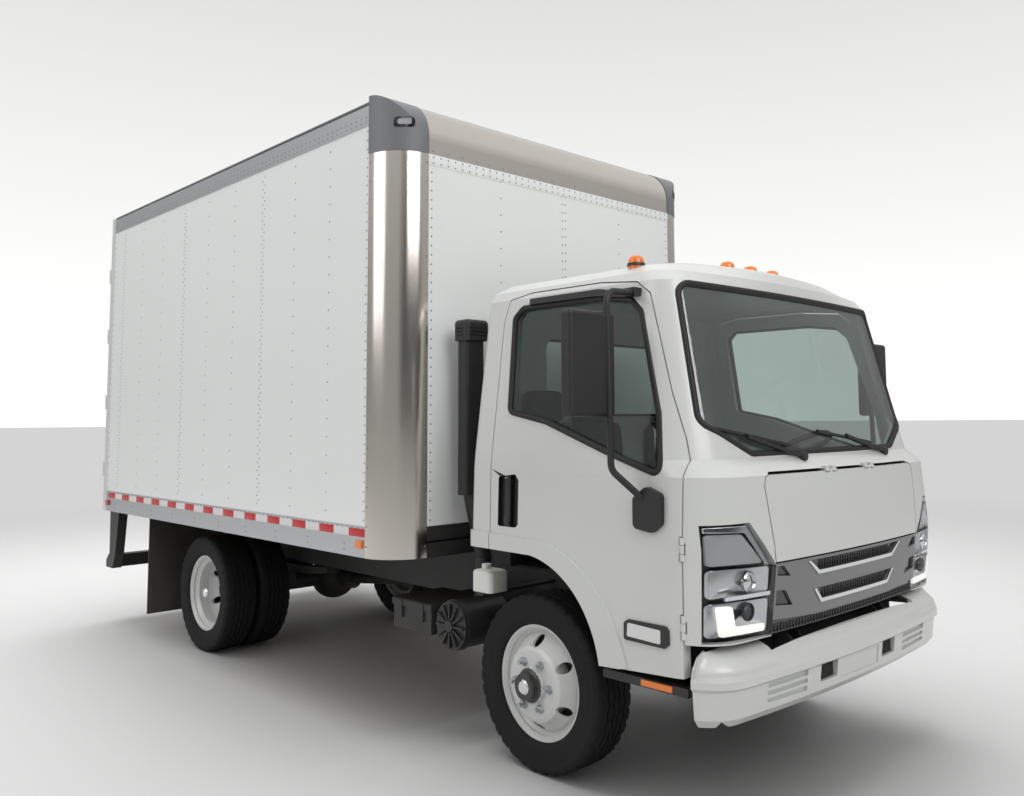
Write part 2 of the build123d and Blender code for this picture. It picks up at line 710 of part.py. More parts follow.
cap_out = extrude(header_side(CAP_PROUD, 0), amount=BOX_HALF + 50, both=True)
cap_in = extrude(header_side(0, WALL_T), amount=BOX_HALF + 50, both=True)
with BuildPart() as corner_caps:
    for side in (1, -1):
        with BuildSketch(Plane.XY.offset(HEADER_Z)):
            with Locations((CORNER_X, side * CORNER_Y)):
                Circle(CORNER_R + CAP_PROUD)
            with Locations((CORNER_X + CORNER_R, side * (CORNER_Y + CORNER_R))):
                Rectangle(2 * CORNER_R, 2 * CORNER_R, mode=Mode.INTERSECT)
        extrude(amount=400)
    add(cap_out, mode=Mode.INTERSECT)
with BuildPart() as cap_core:
    for side in (1, -1):
        with Locations((CORNER_X, side * CORNER_Y, HEADER_Z)):
            Cylinder(CORNER_R - WALL_T, 800)
    add(cap_in, mode=Mode.INTERSECT)
save("corner_caps", corner_caps.part - cap_core.part)

# Rear frame, swing doors and lamps
HINGE_X = BOX_REAR - 22
HINGE_Y = BOX_HALF - 8
HINGE_PIN_R = 7
HINGE_Z = (1250, 1800, 2350, 2860)
OPEN_HALF = BOX_HALF - POST_W
OPEN_TOP = 3060
with BuildPart() as rear_frame:
    block((BOX_REAR, DOOR_FRAME_X), (-BOX_HALF, BOX_HALF), (RAIL_LOW_Z, BOX_TOP_Z))
    block((BOX_REAR - 1, DOOR_FRAME_X + 1), (-OPEN_HALF, OPEN_HALF), (FLOOR_Z, OPEN_TOP), mode=Mode.SUBTRACT)
    for side in (1, -1):
        for level in HINGE_Z:
            for low in (level - 58, level + 36):
                block((HINGE_X, BOX_REAR + 5), (side * (HINGE_Y - 9), side * (HINGE_Y + 8)), (low, low + 22))
                with Locations((HINGE_X, side * HINGE_Y, low + 11)):
                    Cylinder(12, 22)
            with Locations((HINGE_X, side * HINGE_Y, level)):
                Cylinder(HINGE_PIN_R, 110)
save("rear_frame", rear_frame.part)

LEAF_GAP = MOVE_GAP
for side, name in ((1, "rear_door_left"), (-1, "rear_door_right")):
    edge = OPEN_HALF - LEAF_GAP
    with BuildPart() as leaf:
        block((BOX_REAR + 2, BOX_REAR + 42), (side * LEAF_GAP / 2, side * edge), (FLOOR_Z + 6, OPEN_TOP - 6))
        for level in HINGE_Z:
            block((BOX_REAR - 14, BOX_REAR + 3), (side * (edge - 130), side * edge), (level - 28, level + 28))
            block((BOX_REAR - 16, BOX_REAR - 6), (side * (edge - 130), side * HINGE_Y), (level - 28, level + 28))
            with Locations((HINGE_X, side * HINGE_Y, level)):
                Cylinder(12, 56)
        with Locations((BOX_REAR - 18, side * 330, (FLOOR_Z + OPEN_TOP) / 2)):
            Cylinder(13, OPEN_TOP - FLOOR_Z - 40)
        for level in (1160, 2050, 2940):
            block((BOX_REAR - 26, BOX_REAR + 3), (side * 300, side * 360), (level - 30, level + 30))
        for level in HINGE_Z:
            with Locations((HINGE_X, side * HINGE_Y, level)):
                Cylinder(HINGE_PIN_R + SEAT_GAP, 60, mode=Mode.SUBTRACT)
    save(name, leaf.part)

LAMPS = (  # x_low, x_high, y_low, y_high, z_low, z_high
    (BOX_REAR - 14, BOX_REAR, 760, 1010, 935, 1030),
    (BOX_REAR - 14, BOX_REAR, 1030, 1110, 935, 1030),
    (BOX_REAR - 12, BOX_REAR, 1130, 1210, 3240, 3290),
    (CORNER_X - 75, CORNER_X - 20, BOX_HALF, BOX_HALF + 12, 960, 1000),
    (DOOR_FRAME_X + 20, DOOR_FRAME_X + 75, BOX_HALF, BOX_HALF + 12, 960, 1000),
)
with BuildPart() as box_lamps:
    for x_low, x_high, y_low, y_high, z_low, z_high in LAMPS:
        for side in (1, -1):
            block((x_low, x_high), (side * y_low, side * y_high), (z_low, z_high))
    for place in (-180, 0, 180):
        block((BOX_REAR - 12, BOX_REAR), (place - 45, place + 45), (3240, 3290))
save("box_lamps", box_lamps.part)

# Cab skin, then the panels cut from it along the real seams
ARCH = ((50, 1005), (325, 879), (480, 590))  # start, middle and end of the wheel opening's arc
FLARE = ((110, 1075), (440, 922), (632, 606))
FLARE_PROUD = 9
CAB_SIDE = [
    (DOOR_EDGE_X + MOVE_GAP, 615),
    (DOOR_EDGE_X + MOVE_GAP, CAB_LOW_Z),
    (1300, CAB_LOW_Z),
    (1300, 2500),
    (-500, 2500),
    (-500, 1010),
]
DOOR_SIDE = [
    (-226, 500),
    (-236, 2110),
    (-205, 2212),
    (-60, 2236),
    (397, 2234),
    (615, 2212),
    (691, 2157),
    (756, 1956),
    (822, 1739),
    (894, 1540),
    (DOOR_EDGE_X, 1450),
    (DOOR_EDGE_X, 500),
]
WINDOW_SIDE = [
    (-137, 1660),
    (-165, 2120),
    (-110, 2168),
    (402, 2166),
    (590, 2140),
    (655, 2080),
    (784, 1640),
    (815, 1390),
    (507, 1483),
    (120, 1612),
]
LID_FRONT = [
    (-650, 1040),
    (650, 1040),
    (683, 1346),
    (671, 1376),
    (644, 1388),
    (-644, 1388),
    (-671, 1376),
    (-683, 1346),
]
LID_T = 18
LAMP_FRONT = [(653, 748), (653, 1030), (805, 1210), (985, 1203), (985, 752)]
GRILLE_FRONT = [(-653, 700), (653, 700), (653, 1034), (-653, 1034)]
SCREEN_FRONT = [
    (-640, 1470),
    (640, 1470),
    (890, 1600),
    (838, 2200),
    (-838, 2200),
    (-890, 1600),
]
HANDLE_SIDE = [(-177, 1120), (-177, 1352), (-60, 1367), (-35, 1340), (-35, 1135), (-52, 1120)]
HANDLE_DEPTH = 22
SIDE_LAMP = [(622, 722), (622, 790), (645, 805), (842, 805), (856, 790), (856, 735), (835, 718)]
BACK_WINDOW = [(-520, 1640), (520, 1640), (520, 2060), (-520, 2060)]


def arch_prism(arc, points, y_low, y_high):
    """A side-view outline drawn out across the truck: an arc, then points, back to the arc."""
    with BuildSketch(Plane.XZ.offset(-y_high)) as face:
        with BuildLine():
            ThreePointArc(*arc)
            Polyline(arc[2], *points, arc[0])
        make_face()
    return extrude(face.sketch, amount=y_high - y_low)


outer = cab_volume()
inner = cab_volume(CAB_WALL)
cab_form = arch_prism(ARCH, CAB_SIDE, -1200, 1200)
flare_form = arch_prism(FLARE, [(450, 560), (-500, 560), (-500, 1087)], -1200, 1200)
flare = (cab_volume(-FLARE_PROUD) - inner) & cab_form & flare_form
skin = ((outer - inner) & cab_form) + flare
door_cut = {side: side_prism(DOOR_SIDE, *sorted((side * 700, side * 1200)), grow=MOVE_GAP) for side in (1, -1)}
door_form = {side: side_prism(DOOR_SIDE, *sorted((side * 700, side * 1200))) for side in (1, -1)}
lid_form = front_prism(LID_FRONT, 900, 1300)
lid_cut = front_prism(LID_FRONT, 900, 1300, grow=MOVE_GAP + 1)
lamp_cut = {side: front_prism(flipped(LAMP_FRONT, side), 932, 1300) for side in (1, -1)}
lamp_form = {side: front_prism(flipped(LAMP_FRONT, side), 932.3, 1300, grow=-SEAT_GAP) for side in (1, -1)}
grille_cut = front_prism(GRILLE_FRONT, 900, 1300)
screen_cut = front_prism(SCREEN_FRONT, 500, 1300, radius=60)
screen_form = front_prism(SCREEN_FRONT, 500, 1300, radius=60, grow=-SEAT_GAP)
rear_cut = front_prism(BACK_WINDOW, -600, -200, radius=60)
rear_form = front_prism(BACK_WINDOW, -600, -200, radius=60, grow=-SEAT_GAP)
rest = skin - door_cut[1] - door_cut[-1] - lid_cut - grille_cut - screen_cut - rear_cut
rest = rest - lamp_cut[1] - lamp_cut[-1]

HINGE_LEVELS = (810, 1110)
BARREL_R = 9
LEAF_PIN_R = 3.5
LID_BARREL_R = 6
LID_PIN_R = 2.5
LID_HINGES = (-180, 180)
axis_x = DOOR_EDGE_X + MOVE_GAP / 2


def barrels(side, levels, low, high, radius):
    """Round hinge lengths on a cab door's hinge line."""
    with BuildPart() as ring:
        for level in levels:
            with Locations((axis_x, side * DOOR_HINGE_Y, level + (low + high) / 2)):
                Cylinder(radius, high - low)
    return ring.part


def lid_barrels(low, high, radius):
    """Round hinge lengths on the front lid's hinge line, at its two hinges."""
    with BuildPart() as ring:
        for place in LID_HINGES:
            with Locations(Plane(origin=(LID_HINGE_X, place + (low + high) / 2, LID_HINGE_Z), z_dir=(0, 1, 0))):
                Cylinder(radius, high - low)
    return ring.part


with BuildPart() as cab_roof:
    add(rest)
    block((-600, 1300), (-1200, 1200), (ROOF_SEAM_Z, 2500), mode=Mode.INTERSECT)
save("cab_roof", cab_roof.part)
with BuildPart() as cab_back:
    add(rest)
    block((-600, 200), (-1200, 1200), (500, ROOF_SEAM_Z), mode=Mode.INTERSECT)
save("cab_back", cab_back.part)
lid_room = lid_barrels(-22, 22, LID_BARREL_R + 5)
lid_seats = lid_barrels(-45, -17, LID_BARREL_R) + lid_barrels(17, 45, LID_BARREL_R) + lid_barrels(-45, 45, LID_PIN_R)
with BuildPart() as cab_front:
    add(rest)
    block((200, 1300), (-1200, 1200), (COWL_SEAM_Z, ROOF_SEAM_Z), mode=Mode.INTERSECT)
    add(lid_room, mode=Mode.SUBTRACT)
    for place in LID_HINGES:
        for low, high in ((-45, -17), (17, 45)):
            lug_z = (LID_HINGE_Z + 1, LID_HINGE_Z + 17)
            block((LID_HINGE_X - 36, LID_HINGE_X), (place + low, place + high), lug_z)
    add(lid_seats)
save("cab_front", cab_front.part)
lid_strip = slab((500, 1300), (-640, 640), (LID_HINGE_Z - 5, COWL_SEAM_Z + 5))
corner = (rest & slab((500, 1300), (-1200, 1200), (500, COWL_SEAM_Z))) - lid_strip
for side in (1, -1):
    corner = corner - barrels(side, HINGE_LEVELS, -23, 23, BARREL_R + 5)
    corner = corner + barrels(side, HINGE_LEVELS, 18, 45, BARREL_R)
    corner = corner + barrels(side, HINGE_LEVELS, -45, -18, BARREL_R)
    corner = corner + barrels(side, HINGE_LEVELS, -45, 45, LEAF_PIN_R)
save("corner_panels", corner)

lid = (outer - cab_volume(LID_T)) & lid_form
for low, high in ((12, 50), (-50, -12)):
    lid = lid - lid_barrels(low, high, LID_BARREL_R + 5)
lid = lid + lid_barrels(-12, 12, LID_BARREL_R) - lid_barrels(-50, 50, LID_PIN_R + SEAT_GAP)
save("front_lid", lid)
save("headlamps", Compound(children=[skin & lamp_form[1], skin & lamp_form[-1]]))

# Grille: a bright plate with two wide openings and two at each end, lips under the wide ones,
# and a mesh plate behind that also shows below it
PLATE_EDGE = [(-652.7, 808), (-353, 789), (353, 789), (652.7, 808), (652.7, 1033.7), (-652.7, 1033.7)]
MESH_EDGE = [(-652.7, 748), (652.7, 748), (652.7, 1033.7), (-652.7, 1033.7)]
WIDE = (  # top_z, top_half, low_z, low_half
    (1021, 415, 974, 340),
    (898, 355, 850, 306),
)
ENDS = (
    [(640, 1021), (600, 1021), (548, 974), (640, 984)],
    [(640, 926), (575, 918), (520, 851), (640, 864)],
)
LIP = 16
lips = []
holes = []
for top_z, top_half, low_z, low_half in WIDE:
    hole = [(-low_half, low_z), (low_half, low_z), (top_half, top_z), (-top_half, top_z)]
    lip = [
        (-low_half - 6, low_z - LIP),
        (low_half + 6, low_z - LIP),
        (top_half + LIP, top_z),
        (-top_half - LIP, top_z),
    ]
    lips.append(front_prism(lip, 900, 1300))
    holes.append(front_prism(hole, 900, 1300))
for points in ENDS:
    holes += [front_prism(flipped(points, side), 900, 1300) for side in (1, -1)]
front_plate = (outer - cab_volume(14)) & front_prism(PLATE_EDGE, 900, 1300)
lip_skin = cab_volume(-5) - cab_volume(14)
lip_plates = [lip_skin & form for form in lips]
mesh_plate = (cab_volume(12) - cab_volume(30)) & front_prism(MESH_EDGE, 900, 1300)
with BuildPart() as grille:
    add(front_plate)
    for plate in lip_plates:
        add(plate)
    for hole in holes:
        add(hole, mode=Mode.SUBTRACT)
    add(mesh_plate)
save("grille", grille.part)

pane = cab_volume(8) - cab_volume(14)
save("cab_glass", Compound(children=[pane & screen_form, pane & rear_form]))

MIRROR_FOOT = [(690, 1178), (690, 1300), (760, 1348), (836, 1320), (836, 1200), (790, 1165)]
pane_door = cab_volume(18) - cab_volume(23)
for side, hand in ((1, "left"), (-1, "right")):
    near = sorted((side * 700, side * 1200))
    window = side_prism(WINDOW_SIDE, near[0], near[1], radius=30)
    glass = side_prism(WINDOW_SIDE, near[0], near[1], radius=30, grow=-SEAT_GAP)
    pocket = side_prism(HANDLE_SIDE, near[0], near[1], radius=12) & (outer - cab_volume(HANDLE_DEPTH))
    grip = (outer & slab((-128, -92), near, (1110, 1380))) - cab_volume(12)
    housing = (cab_volume(-8) - cab_volume(10)) & side_prism(SIDE_LAMP, near[0], near[1], radius=10)
    door = ((skin & door_form[side]) - window - pocket) + (grip & pocket) + housing
    for low, high in ((16, 50), (-50, -16)):
        door = door - barrels(side, HINGE_LEVELS, low, high, BARREL_R + 5)
    door = door + barrels(side, HINGE_LEVELS, -16, 16, BARREL_R)
    door = door - barrels(side, HINGE_LEVELS, -50, 50, LEAF_PIN_R + SEAT_GAP)
    save(f"door_{hand}", door)
    save(f"door_glass_{hand}", pane_door & glass)

    bends = [
        (618, side * 880, 2168),
        (650, side * 1141, 2149),
        (668, side * 1144, 1416),
        (760, side * 1000, 1262),
    ]
    arm = bent_tube(bends, 14, 60)
    foot = side_prism(MIRROR_FOOT, *sorted((side * 1000, side * 1042)), radius=24)
    with BuildPart() as mirror:
        block((600, 662), (side * 1098, side * 1367), (1631, 2060))
        fillet(mirror.edges(), 20)
        add(arm)
        add(foot)
        block((590, 646), (side * 880, side * 960), (2148, 2184))
    fitted = mirror.part - cab_volume(-SEAT_GAP)
    save(f"mirror_{hand}", fitted)

# Cab floor with seat platform, firewall and the arms that carry the tilt pins
space = cab_volume(CAB_WALL + MOVE_GAP)
ARM_SIDE = [
    (PIVOT_X - 130, PIVOT_Z - 26),
    (PIVOT_X, PIVOT_Z - 28),
    (PIVOT_X + 26, PIVOT_Z),
    (PIVOT_X, PIVOT_Z + 28),
    (PIVOT_X - 50, PIVOT_Z + 28),
    (PIVOT_X - 75, PIVOT_Z + 50),
    (PIVOT_X - 75, 840),
    (PIVOT_X - 130, 840),
]
arms = [side_prism(ARM_SIDE, *sorted((s * (RAIL_IN + 5.5), s * (RAIL_OUT - 5.5)))) for s in (1, -1)]
arm_bore = y_cylinder(PIVOT_X, PIVOT_Z, PIVOT_R + SEAT_GAP, -800, 800)
with BuildPart() as floor_parts:
    block((-354, 440), (-1200, 1200), (1000, 1040))
    block((440, 480), (-1200, 1200), (830, 1040))
    block((440, 1300), (-1200, 1200), (830, 870))
    block((1005, 1030), (-780, 780), (830, 1440))
    add(space, mode=Mode.INTERSECT)
    block((CAB_BACK + CAB_WALL, -300), (-900, 900), (1000, 1040))
    for piece in arms:
        add(piece)
    add(arm_bore, mode=Mode.SUBTRACT)
save("cab_floor", floor_parts.part)

LINER_OUT = ((60, 999.7), (305, 876), (480, 575))
LINER_IN = ((60, 985), (291, 864), (465, 575))
with BuildSketch(Plane.XZ) as liner_side:
    with BuildLine():
        ThreePointArc(*LINER_OUT)
        Line(LINER_OUT[2], LINER_IN[2])
        ThreePointArc(*reversed(LINER_IN))
        Line(LINER_IN[0], LINER_OUT[0])
    make_face()
liners = [Pos(0, side * 780, 0) * extrude(liner_side.sketch, amount=180, both=True) for side in (1, -1)]
with BuildPart() as cab_steps:
    for liner in liners:
        add(liner)
    for side in (1, -1):
        block((480, 925), (side * 690, side * 1000), (540, 575))
        block((480, 925), (side * 690, side * 720), (540, 830))
        block((475, 500), (side * 690, side * 960), (560, 690))
save("cab_steps", cab_steps.part)

# Inside: seats, dashboard with the steering column, steering wheel
SEATS = (  # y_low, y_high
    (250, 730),
    (-780, -40),
)
BACK_SIDE = [(-210, 1170), (-330, 1170), (-345, 1760), (-270, 1780)]
with BuildPart() as seats:
    for y_low, y_high in SEATS:
        block((-330, 250), (y_low, y_high), (1040, 1180))
        add(side_prism(BACK_SIDE, y_low, y_high))
save("seats", seats.part)

WHEEL_Y = 480
WHEEL_X = 540
WHEEL_Z = 1440
COLUMN = (0.5, 0, -0.866)


def on_column(reach):
    """A point on the steering column's line, reach below the wheel's centre."""
    return (WHEEL_X + COLUMN[0] * reach, WHEEL_Y, WHEEL_Z + COLUMN[2] * reach)


column = rod([on_column(60), on_column(420)], 32)
shaft = rod([on_column(-20), on_column(70)], 11)
dash_space = cab_volume(CAB_WALL + MOVE_GAP + 2)
with BuildPart() as dashboard:
    block((790, 1005 - SEAT_GAP), (-1000, 1000), (1180, 1400))
    fillet(dashboard.edges().filter_by(Axis.Y).sort_by(Axis.X)[:2], 40)
    add(dash_space, mode=Mode.INTERSECT)
    add(column)
    add(shaft)
    block((640, 800), (WHEEL_Y - 40, WHEEL_Y + 40), (1190, 1260))
save("dashboard", dashboard.part)

with BuildPart() as steering_wheel:
    with Locations(Plane(origin=(WHEEL_X, WHEEL_Y, WHEEL_Z), z_dir=COLUMN)):
        Torus(205, 15)
        Cylinder(36, 50)
        for angle in (0, 120, 240):
            with PolarLocations(110, 1, start_angle=angle):
                Box(190, 34, 14)
        Cylinder(11 + SEAT_GAP, 200, mode=Mode.SUBTRACT)
save("steering_wheel", steering_wheel.part)

ROOF_LAMPS = (  # x, y, top_z
    (515, 790, 2349),
    (515, -790, 2349),
    (645, 250, 2360),
    (660, 0, 2362),
    (645, -250, 2360),
)
with BuildPart() as lamp_posts:
    for x, y, top_z in ROOF_LAMPS:
        with Locations((x, y, top_z - 60)):
            Cylinder(40, 120)
    fillet(lamp_posts.edges().filter_by(GeomType.CIRCLE).filter_by(lambda e: e.center().Z > 2330), 28)
save("roof_lamps", lamp_posts.part - cab_volume(-SEAT_GAP))
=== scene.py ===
"""Dresses the box truck: finishes, tyres, fasteners, lamps and the trim of cab and load body."""

import json
import math

import bmesh
import bpy
from mathutils import Matrix, Vector
from mathutils.bvhtree import BVHTree


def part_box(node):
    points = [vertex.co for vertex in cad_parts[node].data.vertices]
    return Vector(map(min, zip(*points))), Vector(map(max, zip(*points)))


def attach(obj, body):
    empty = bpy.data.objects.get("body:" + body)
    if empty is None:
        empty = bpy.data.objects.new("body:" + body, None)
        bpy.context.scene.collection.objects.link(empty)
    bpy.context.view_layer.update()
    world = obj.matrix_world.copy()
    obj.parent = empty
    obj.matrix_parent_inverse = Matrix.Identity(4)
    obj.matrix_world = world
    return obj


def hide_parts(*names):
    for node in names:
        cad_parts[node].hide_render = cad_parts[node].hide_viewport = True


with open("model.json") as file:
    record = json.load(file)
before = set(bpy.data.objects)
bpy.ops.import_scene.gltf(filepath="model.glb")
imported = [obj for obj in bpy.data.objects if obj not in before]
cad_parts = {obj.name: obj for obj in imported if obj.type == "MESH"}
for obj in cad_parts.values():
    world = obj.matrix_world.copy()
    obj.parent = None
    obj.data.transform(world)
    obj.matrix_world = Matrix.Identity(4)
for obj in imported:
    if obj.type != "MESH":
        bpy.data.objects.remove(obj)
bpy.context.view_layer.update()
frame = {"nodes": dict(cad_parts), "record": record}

NODES = frame["nodes"]
SIDES = ((1, "left"), (-1, "right"))
AHEAD = (1, 0, 0)

# The camera's place is measured from the front axle, as the photograph was solved
AXLE_X = sum(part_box("tyre_front_left")[end].x for end in (0, 1)) / 2
CAMERA_FROM_AXLE = (3.1205, -3.8541, 1.6162)
CAMERA_YAW = 134.776
CAMERA_PITCH = 4.815
CAMERA_ROLL = -0.448
FOCAL_PIXELS = 897.1
OPTICAL_CENTRE = (568.5, 345.1)
PICTURE = (1024, 796)
SENSOR = 36.0

# Colours, linear red, green and blue
WHITE = (0.62, 0.63, 0.61)
PANEL_WHITE = (0.83, 0.85, 0.84)
BLACK = (0.012, 0.012, 0.013)
DUST = (0.36, 0.33, 0.29)
AMBER = (0.85, 0.20, 0.012)
RED = (0.42, 0.008, 0.008)


# Helpers for node trees
def add_node(tree, kind, values=None, **settings):
    """A new node with its settings and the plain values of its inputs."""
    made = tree.nodes.new(kind)
    for name, value in settings.items():
        setattr(made, name, value)
    for socket, value in (values or {}).items():
        made.inputs[socket].default_value = value
    return made


def wire(tree, *runs):
    """Links each (node, output, node, input)."""
    for start, out, end, into in runs:
        tree.links.new(start.outputs[out], end.inputs[into])


def sockets(group, inputs, outputs):
    """Adds named (name, kind, value) inputs and (name, kind) outputs to a group."""
    for name, kind, value in inputs:
        made = group.interface.new_socket(name=name, in_out="INPUT", socket_type=kind)
        if value is not None:
            made.default_value = value
    for name, kind in outputs:
        group.interface.new_socket(name=name, in_out="OUTPUT", socket_type=kind)
    return add_node(group, "NodeGroupInput"), add_node(group, "NodeGroupOutput")


def blank_material(name):
    """A new material with its node tree."""
    material = bpy.data.materials.new(name)
    material.use_nodes = True
    return material, material.node_tree


# Shader groups shared by the finishes
def road_film_group():
    """Colour and roughness with a thin uneven film of road dust, thicker near the ground."""
    group = bpy.data.node_groups.new("road_film", "ShaderNodeTree")
    given, made = sockets(group, (
        ("Vector", "NodeSocketVector", None),
        ("Colour", "NodeSocketColor", (0.8, 0.8, 0.8, 1)),
        ("Dust", "NodeSocketFloat", 0.1),
        ("Roughness", "NodeSocketFloat", 0.4),
        ("Spread", "NodeSocketFloat", 0.08),
    ), (("Colour", "NodeSocketColor"), ("Roughness", "NodeSocketFloat")))
    cloud = add_node(group, "ShaderNodeTexNoise", {"Scale": 2.3, "Detail": 6})
    place = add_node(group, "ShaderNodeSeparateXYZ")
    low = add_node(group, "ShaderNodeMapRange",
                   {"From Min": 0.1, "From Max": 1.3, "To Min": 1.0, "To Max": 0.18})
    weigh = add_node(group, "ShaderNodeMath", operation="MULTIPLY")
    scale = add_node(group, "ShaderNodeMath", operation="MULTIPLY")
    mix = add_node(group, "ShaderNodeMix", {7: (*DUST, 1)}, data_type="RGBA")
    swing = add_node(group, "ShaderNodeMath", operation="MULTIPLY_ADD")
    wire(group, (given, "Vector", cloud, "Vector"), (given, "Vector", place, 0),
         (place, "Z", low, "Value"), (cloud, "Fac", weigh, 0), (low, "Result", weigh, 1),
         (weigh, 0, scale, 0), (given, "Dust", scale, 1), (scale, 0, mix, 0),
         (given, "Colour", mix, 6), (mix, 2, made, "Colour"), (cloud, "Fac", swing, 0),
         (given, "Spread", swing, 1), (given, "Roughness", swing, 2),
         (swing, 0, made, "Roughness"))
    return group


def grain_group():
    """A normal with fine grain over a slow wave, both set in metres of depth."""
    group = bpy.data.node_groups.new("surface_grain", "ShaderNodeTree")
    given, made = sockets(group, (
        ("Vector", "NodeSocketVector", None),
        ("Grain Scale", "NodeSocketFloat", 600),
        ("Grain Depth", "NodeSocketFloat", 0.0002),
        ("Wave Scale", "NodeSocketFloat", 3),
        ("Wave Depth", "NodeSocketFloat", 0.0),
    ), (("Normal", "NodeSocketVector"),))
    last = None
    for kind in ("Wave", "Grain"):
        noise = add_node(group, "ShaderNodeTexNoise", {"Detail": 2})
        bump = add_node(group, "ShaderNodeBump", {"Strength": 1.0})
        wire(group, (given, "Vector", noise, "Vector"), (given, f"{kind} Scale", noise, "Scale"),
             (noise, "Fac", bump, "Height"), (given, f"{kind} Depth", bump, "Distance"))
        if last:
            wire(group, (last, "Normal", bump, "Normal"))
        last = bump
    wire(group, (last, "Normal", made, "Normal"))
    return group


ROAD_FILM = road_film_group()
GRAIN = grain_group()
FINISH = {}


def finish(name, colour, roughness, metallic=0.0, coat=0.0, dust=0.1, spread=0.08,
           grain=(600, 0.0001), wave=(3, 0.0), stretch=(1, 1, 1), **plain):
    """A finish of the truck: film of dust, grain and the shader's own plain values."""
    FINISH[name], tree = blank_material(name)
    shader = tree.nodes["Principled BSDF"]
    where = add_node(tree, "ShaderNodeTexCoord")
    mapping = add_node(tree, "ShaderNodeMapping", {"Scale": stretch})
    film = add_node(tree, "ShaderNodeGroup", {
        "Colour": (*colour, 1), "Dust": dust, "Roughness": roughness - spread / 2, "Spread": spread,
    }, node_tree=ROAD_FILM)
    grained = add_node(tree, "ShaderNodeGroup", {
        "Grain Scale": grain[0], "Grain Depth": grain[1],
        "Wave Scale": wave[0], "Wave Depth": wave[1],
    }, node_tree=GRAIN)
    wire(tree, (where, "Object", film, "Vector"), (where, "Object", mapping, "Vector"),
         (mapping, "Vector", grained, "Vector"), (film, "Colour", shader, "Base Color"),
         (film, "Roughness", shader, "Roughness"), (grained, "Normal", shader, "Normal"))
    plain.update(Metallic=metallic, Coat_Weight=coat)
    for socket, value in plain.items():
        shader.inputs[socket.replace("_", " ")].default_value = value


finish("white_paint", WHITE, 0.3, coat=0.35, dust=0.05, spread=0.05, wave=(2.2, 0.0007),
       Coat_Roughness=0.16)
finish("panel_white", PANEL_WHITE, 0.22, coat=0.5, dust=0.05, wave=(1.6, 0.0014),
       Coat_Roughness=0.1)
finish("black_chassis", (0.014, 0.014, 0.015), 0.5, dust=0.16, grain=(300, 0.0004))
finish("aluminium_rail", (0.56, 0.57, 0.59), 0.36, metallic=1, dust=0.05, grain=(90, 0.0002),
       stretch=(0.05, 1, 1))
finish("polished_trim", (0.66, 0.62, 0.57), 0.17, metallic=1, dust=0.02, grain=(60, 0.0003),
       stretch=(1, 1, 0.03))
finish("grey_cap", (0.16, 0.165, 0.172), 0.42, dust=0.1, grain=(700, 0.0003))
finish("black_plastic", BLACK, 0.46, dust=0.1, grain=(900, 0.0002))
finish("silver_grille", (0.22, 0.22, 0.222), 0.34, metallic=0.5, dust=0.03)
finish("bright_chrome", (0.75, 0.76, 0.78), 0.08, metallic=1, dust=0.02)
finish("clear_lamp", (0.95, 0.96, 0.97), 0.03, dust=0.0, spread=0.01, Transmission_Weight=1.0,
       IOR=1.12)
finish("lamp_silver", (0.60, 0.61, 0.63), 0.26, metallic=0.85, dust=0.02)
finish("lamp_dark", (0.05, 0.052, 0.056), 0.25, dust=0.0)
finish("light_bar", (0.9, 0.9, 0.88), 0.3, dust=0.0, Emission_Color=(1, 0.96, 0.9, 1),
       Emission_Strength=0.5)
finish("amber_lamp", AMBER, 0.16, coat=0.6, dust=0.05)
finish("red_lamp", RED, 0.14, coat=0.6, dust=0.05)
finish("red_tape", (0.55, 0.012, 0.014), 0.3, dust=0.08, grain=(420, 0.0004))
finish("white_tape", (0.72, 0.72, 0.72), 0.3, dust=0.08, grain=(420, 0.0004))
finish("bottle_plastic", (0.78, 0.78, 0.73), 0.42, dust=0.12, grain=(300, 0.0003))
finish("tyre_rubber", (0.006, 0.006, 0.0065), 0.75, dust=0.03, grain=(350, 0.0006),
       Specular_IOR_Level=0.3)
finish("flap_rubber", (0.012, 0.012, 0.012), 0.7, dust=0.3, grain=(120, 0.001))
finish("wheel_white", (0.66, 0.67, 0.66), 0.3, coat=0.25, dust=0.12)
finish("axle_iron", (0.02, 0.02, 0.021), 0.58, dust=0.2, grain=(160, 0.0009))
finish("floor_wood", (0.32, 0.18, 0.075), 0.55, dust=0.2, grain=(40, 0.0008), stretch=(0.08, 1, 1))
finish("seat_cloth", (0.055, 0.057, 0.062), 0.85, dust=0.08, grain=(900, 0.0008))
finish("exhaust_steel", (0.30, 0.26, 0.22), 0.45, metallic=0.9, dust=0.25, grain=(120, 0.0006))
finish("seal_rubber", (0.008, 0.008, 0.008), 0.6, dust=0.05)
finish("mirror_glass", (0.7, 0.72, 0.74), 0.02, metallic=1, dust=0.0)
finish("rivet_grey", (0.30, 0.31, 0.32), 0.4, metallic=0.8, dust=0.1)
finish("hub_black", (0.016, 0.016, 0.017), 0.35, coat=0.2, dust=0.12)
finish("nut_steel", (0.52, 0.53, 0.55), 0.3, metallic=1, dust=0.08)
finish("gloss_black", (0.006, 0.006, 0.007), 0.12, coat=0.5, dust=0.03)
finish("lamp_grey", (0.33, 0.335, 0.345), 0.2, coat=0.5, dust=0.0)
# A near-black finish for blocks set behind openings: painted shade, standing in for the shaded
# space behind them.
finish("painted_shade_black", (0.006, 0.006, 0.006), 0.8, dust=0.05)


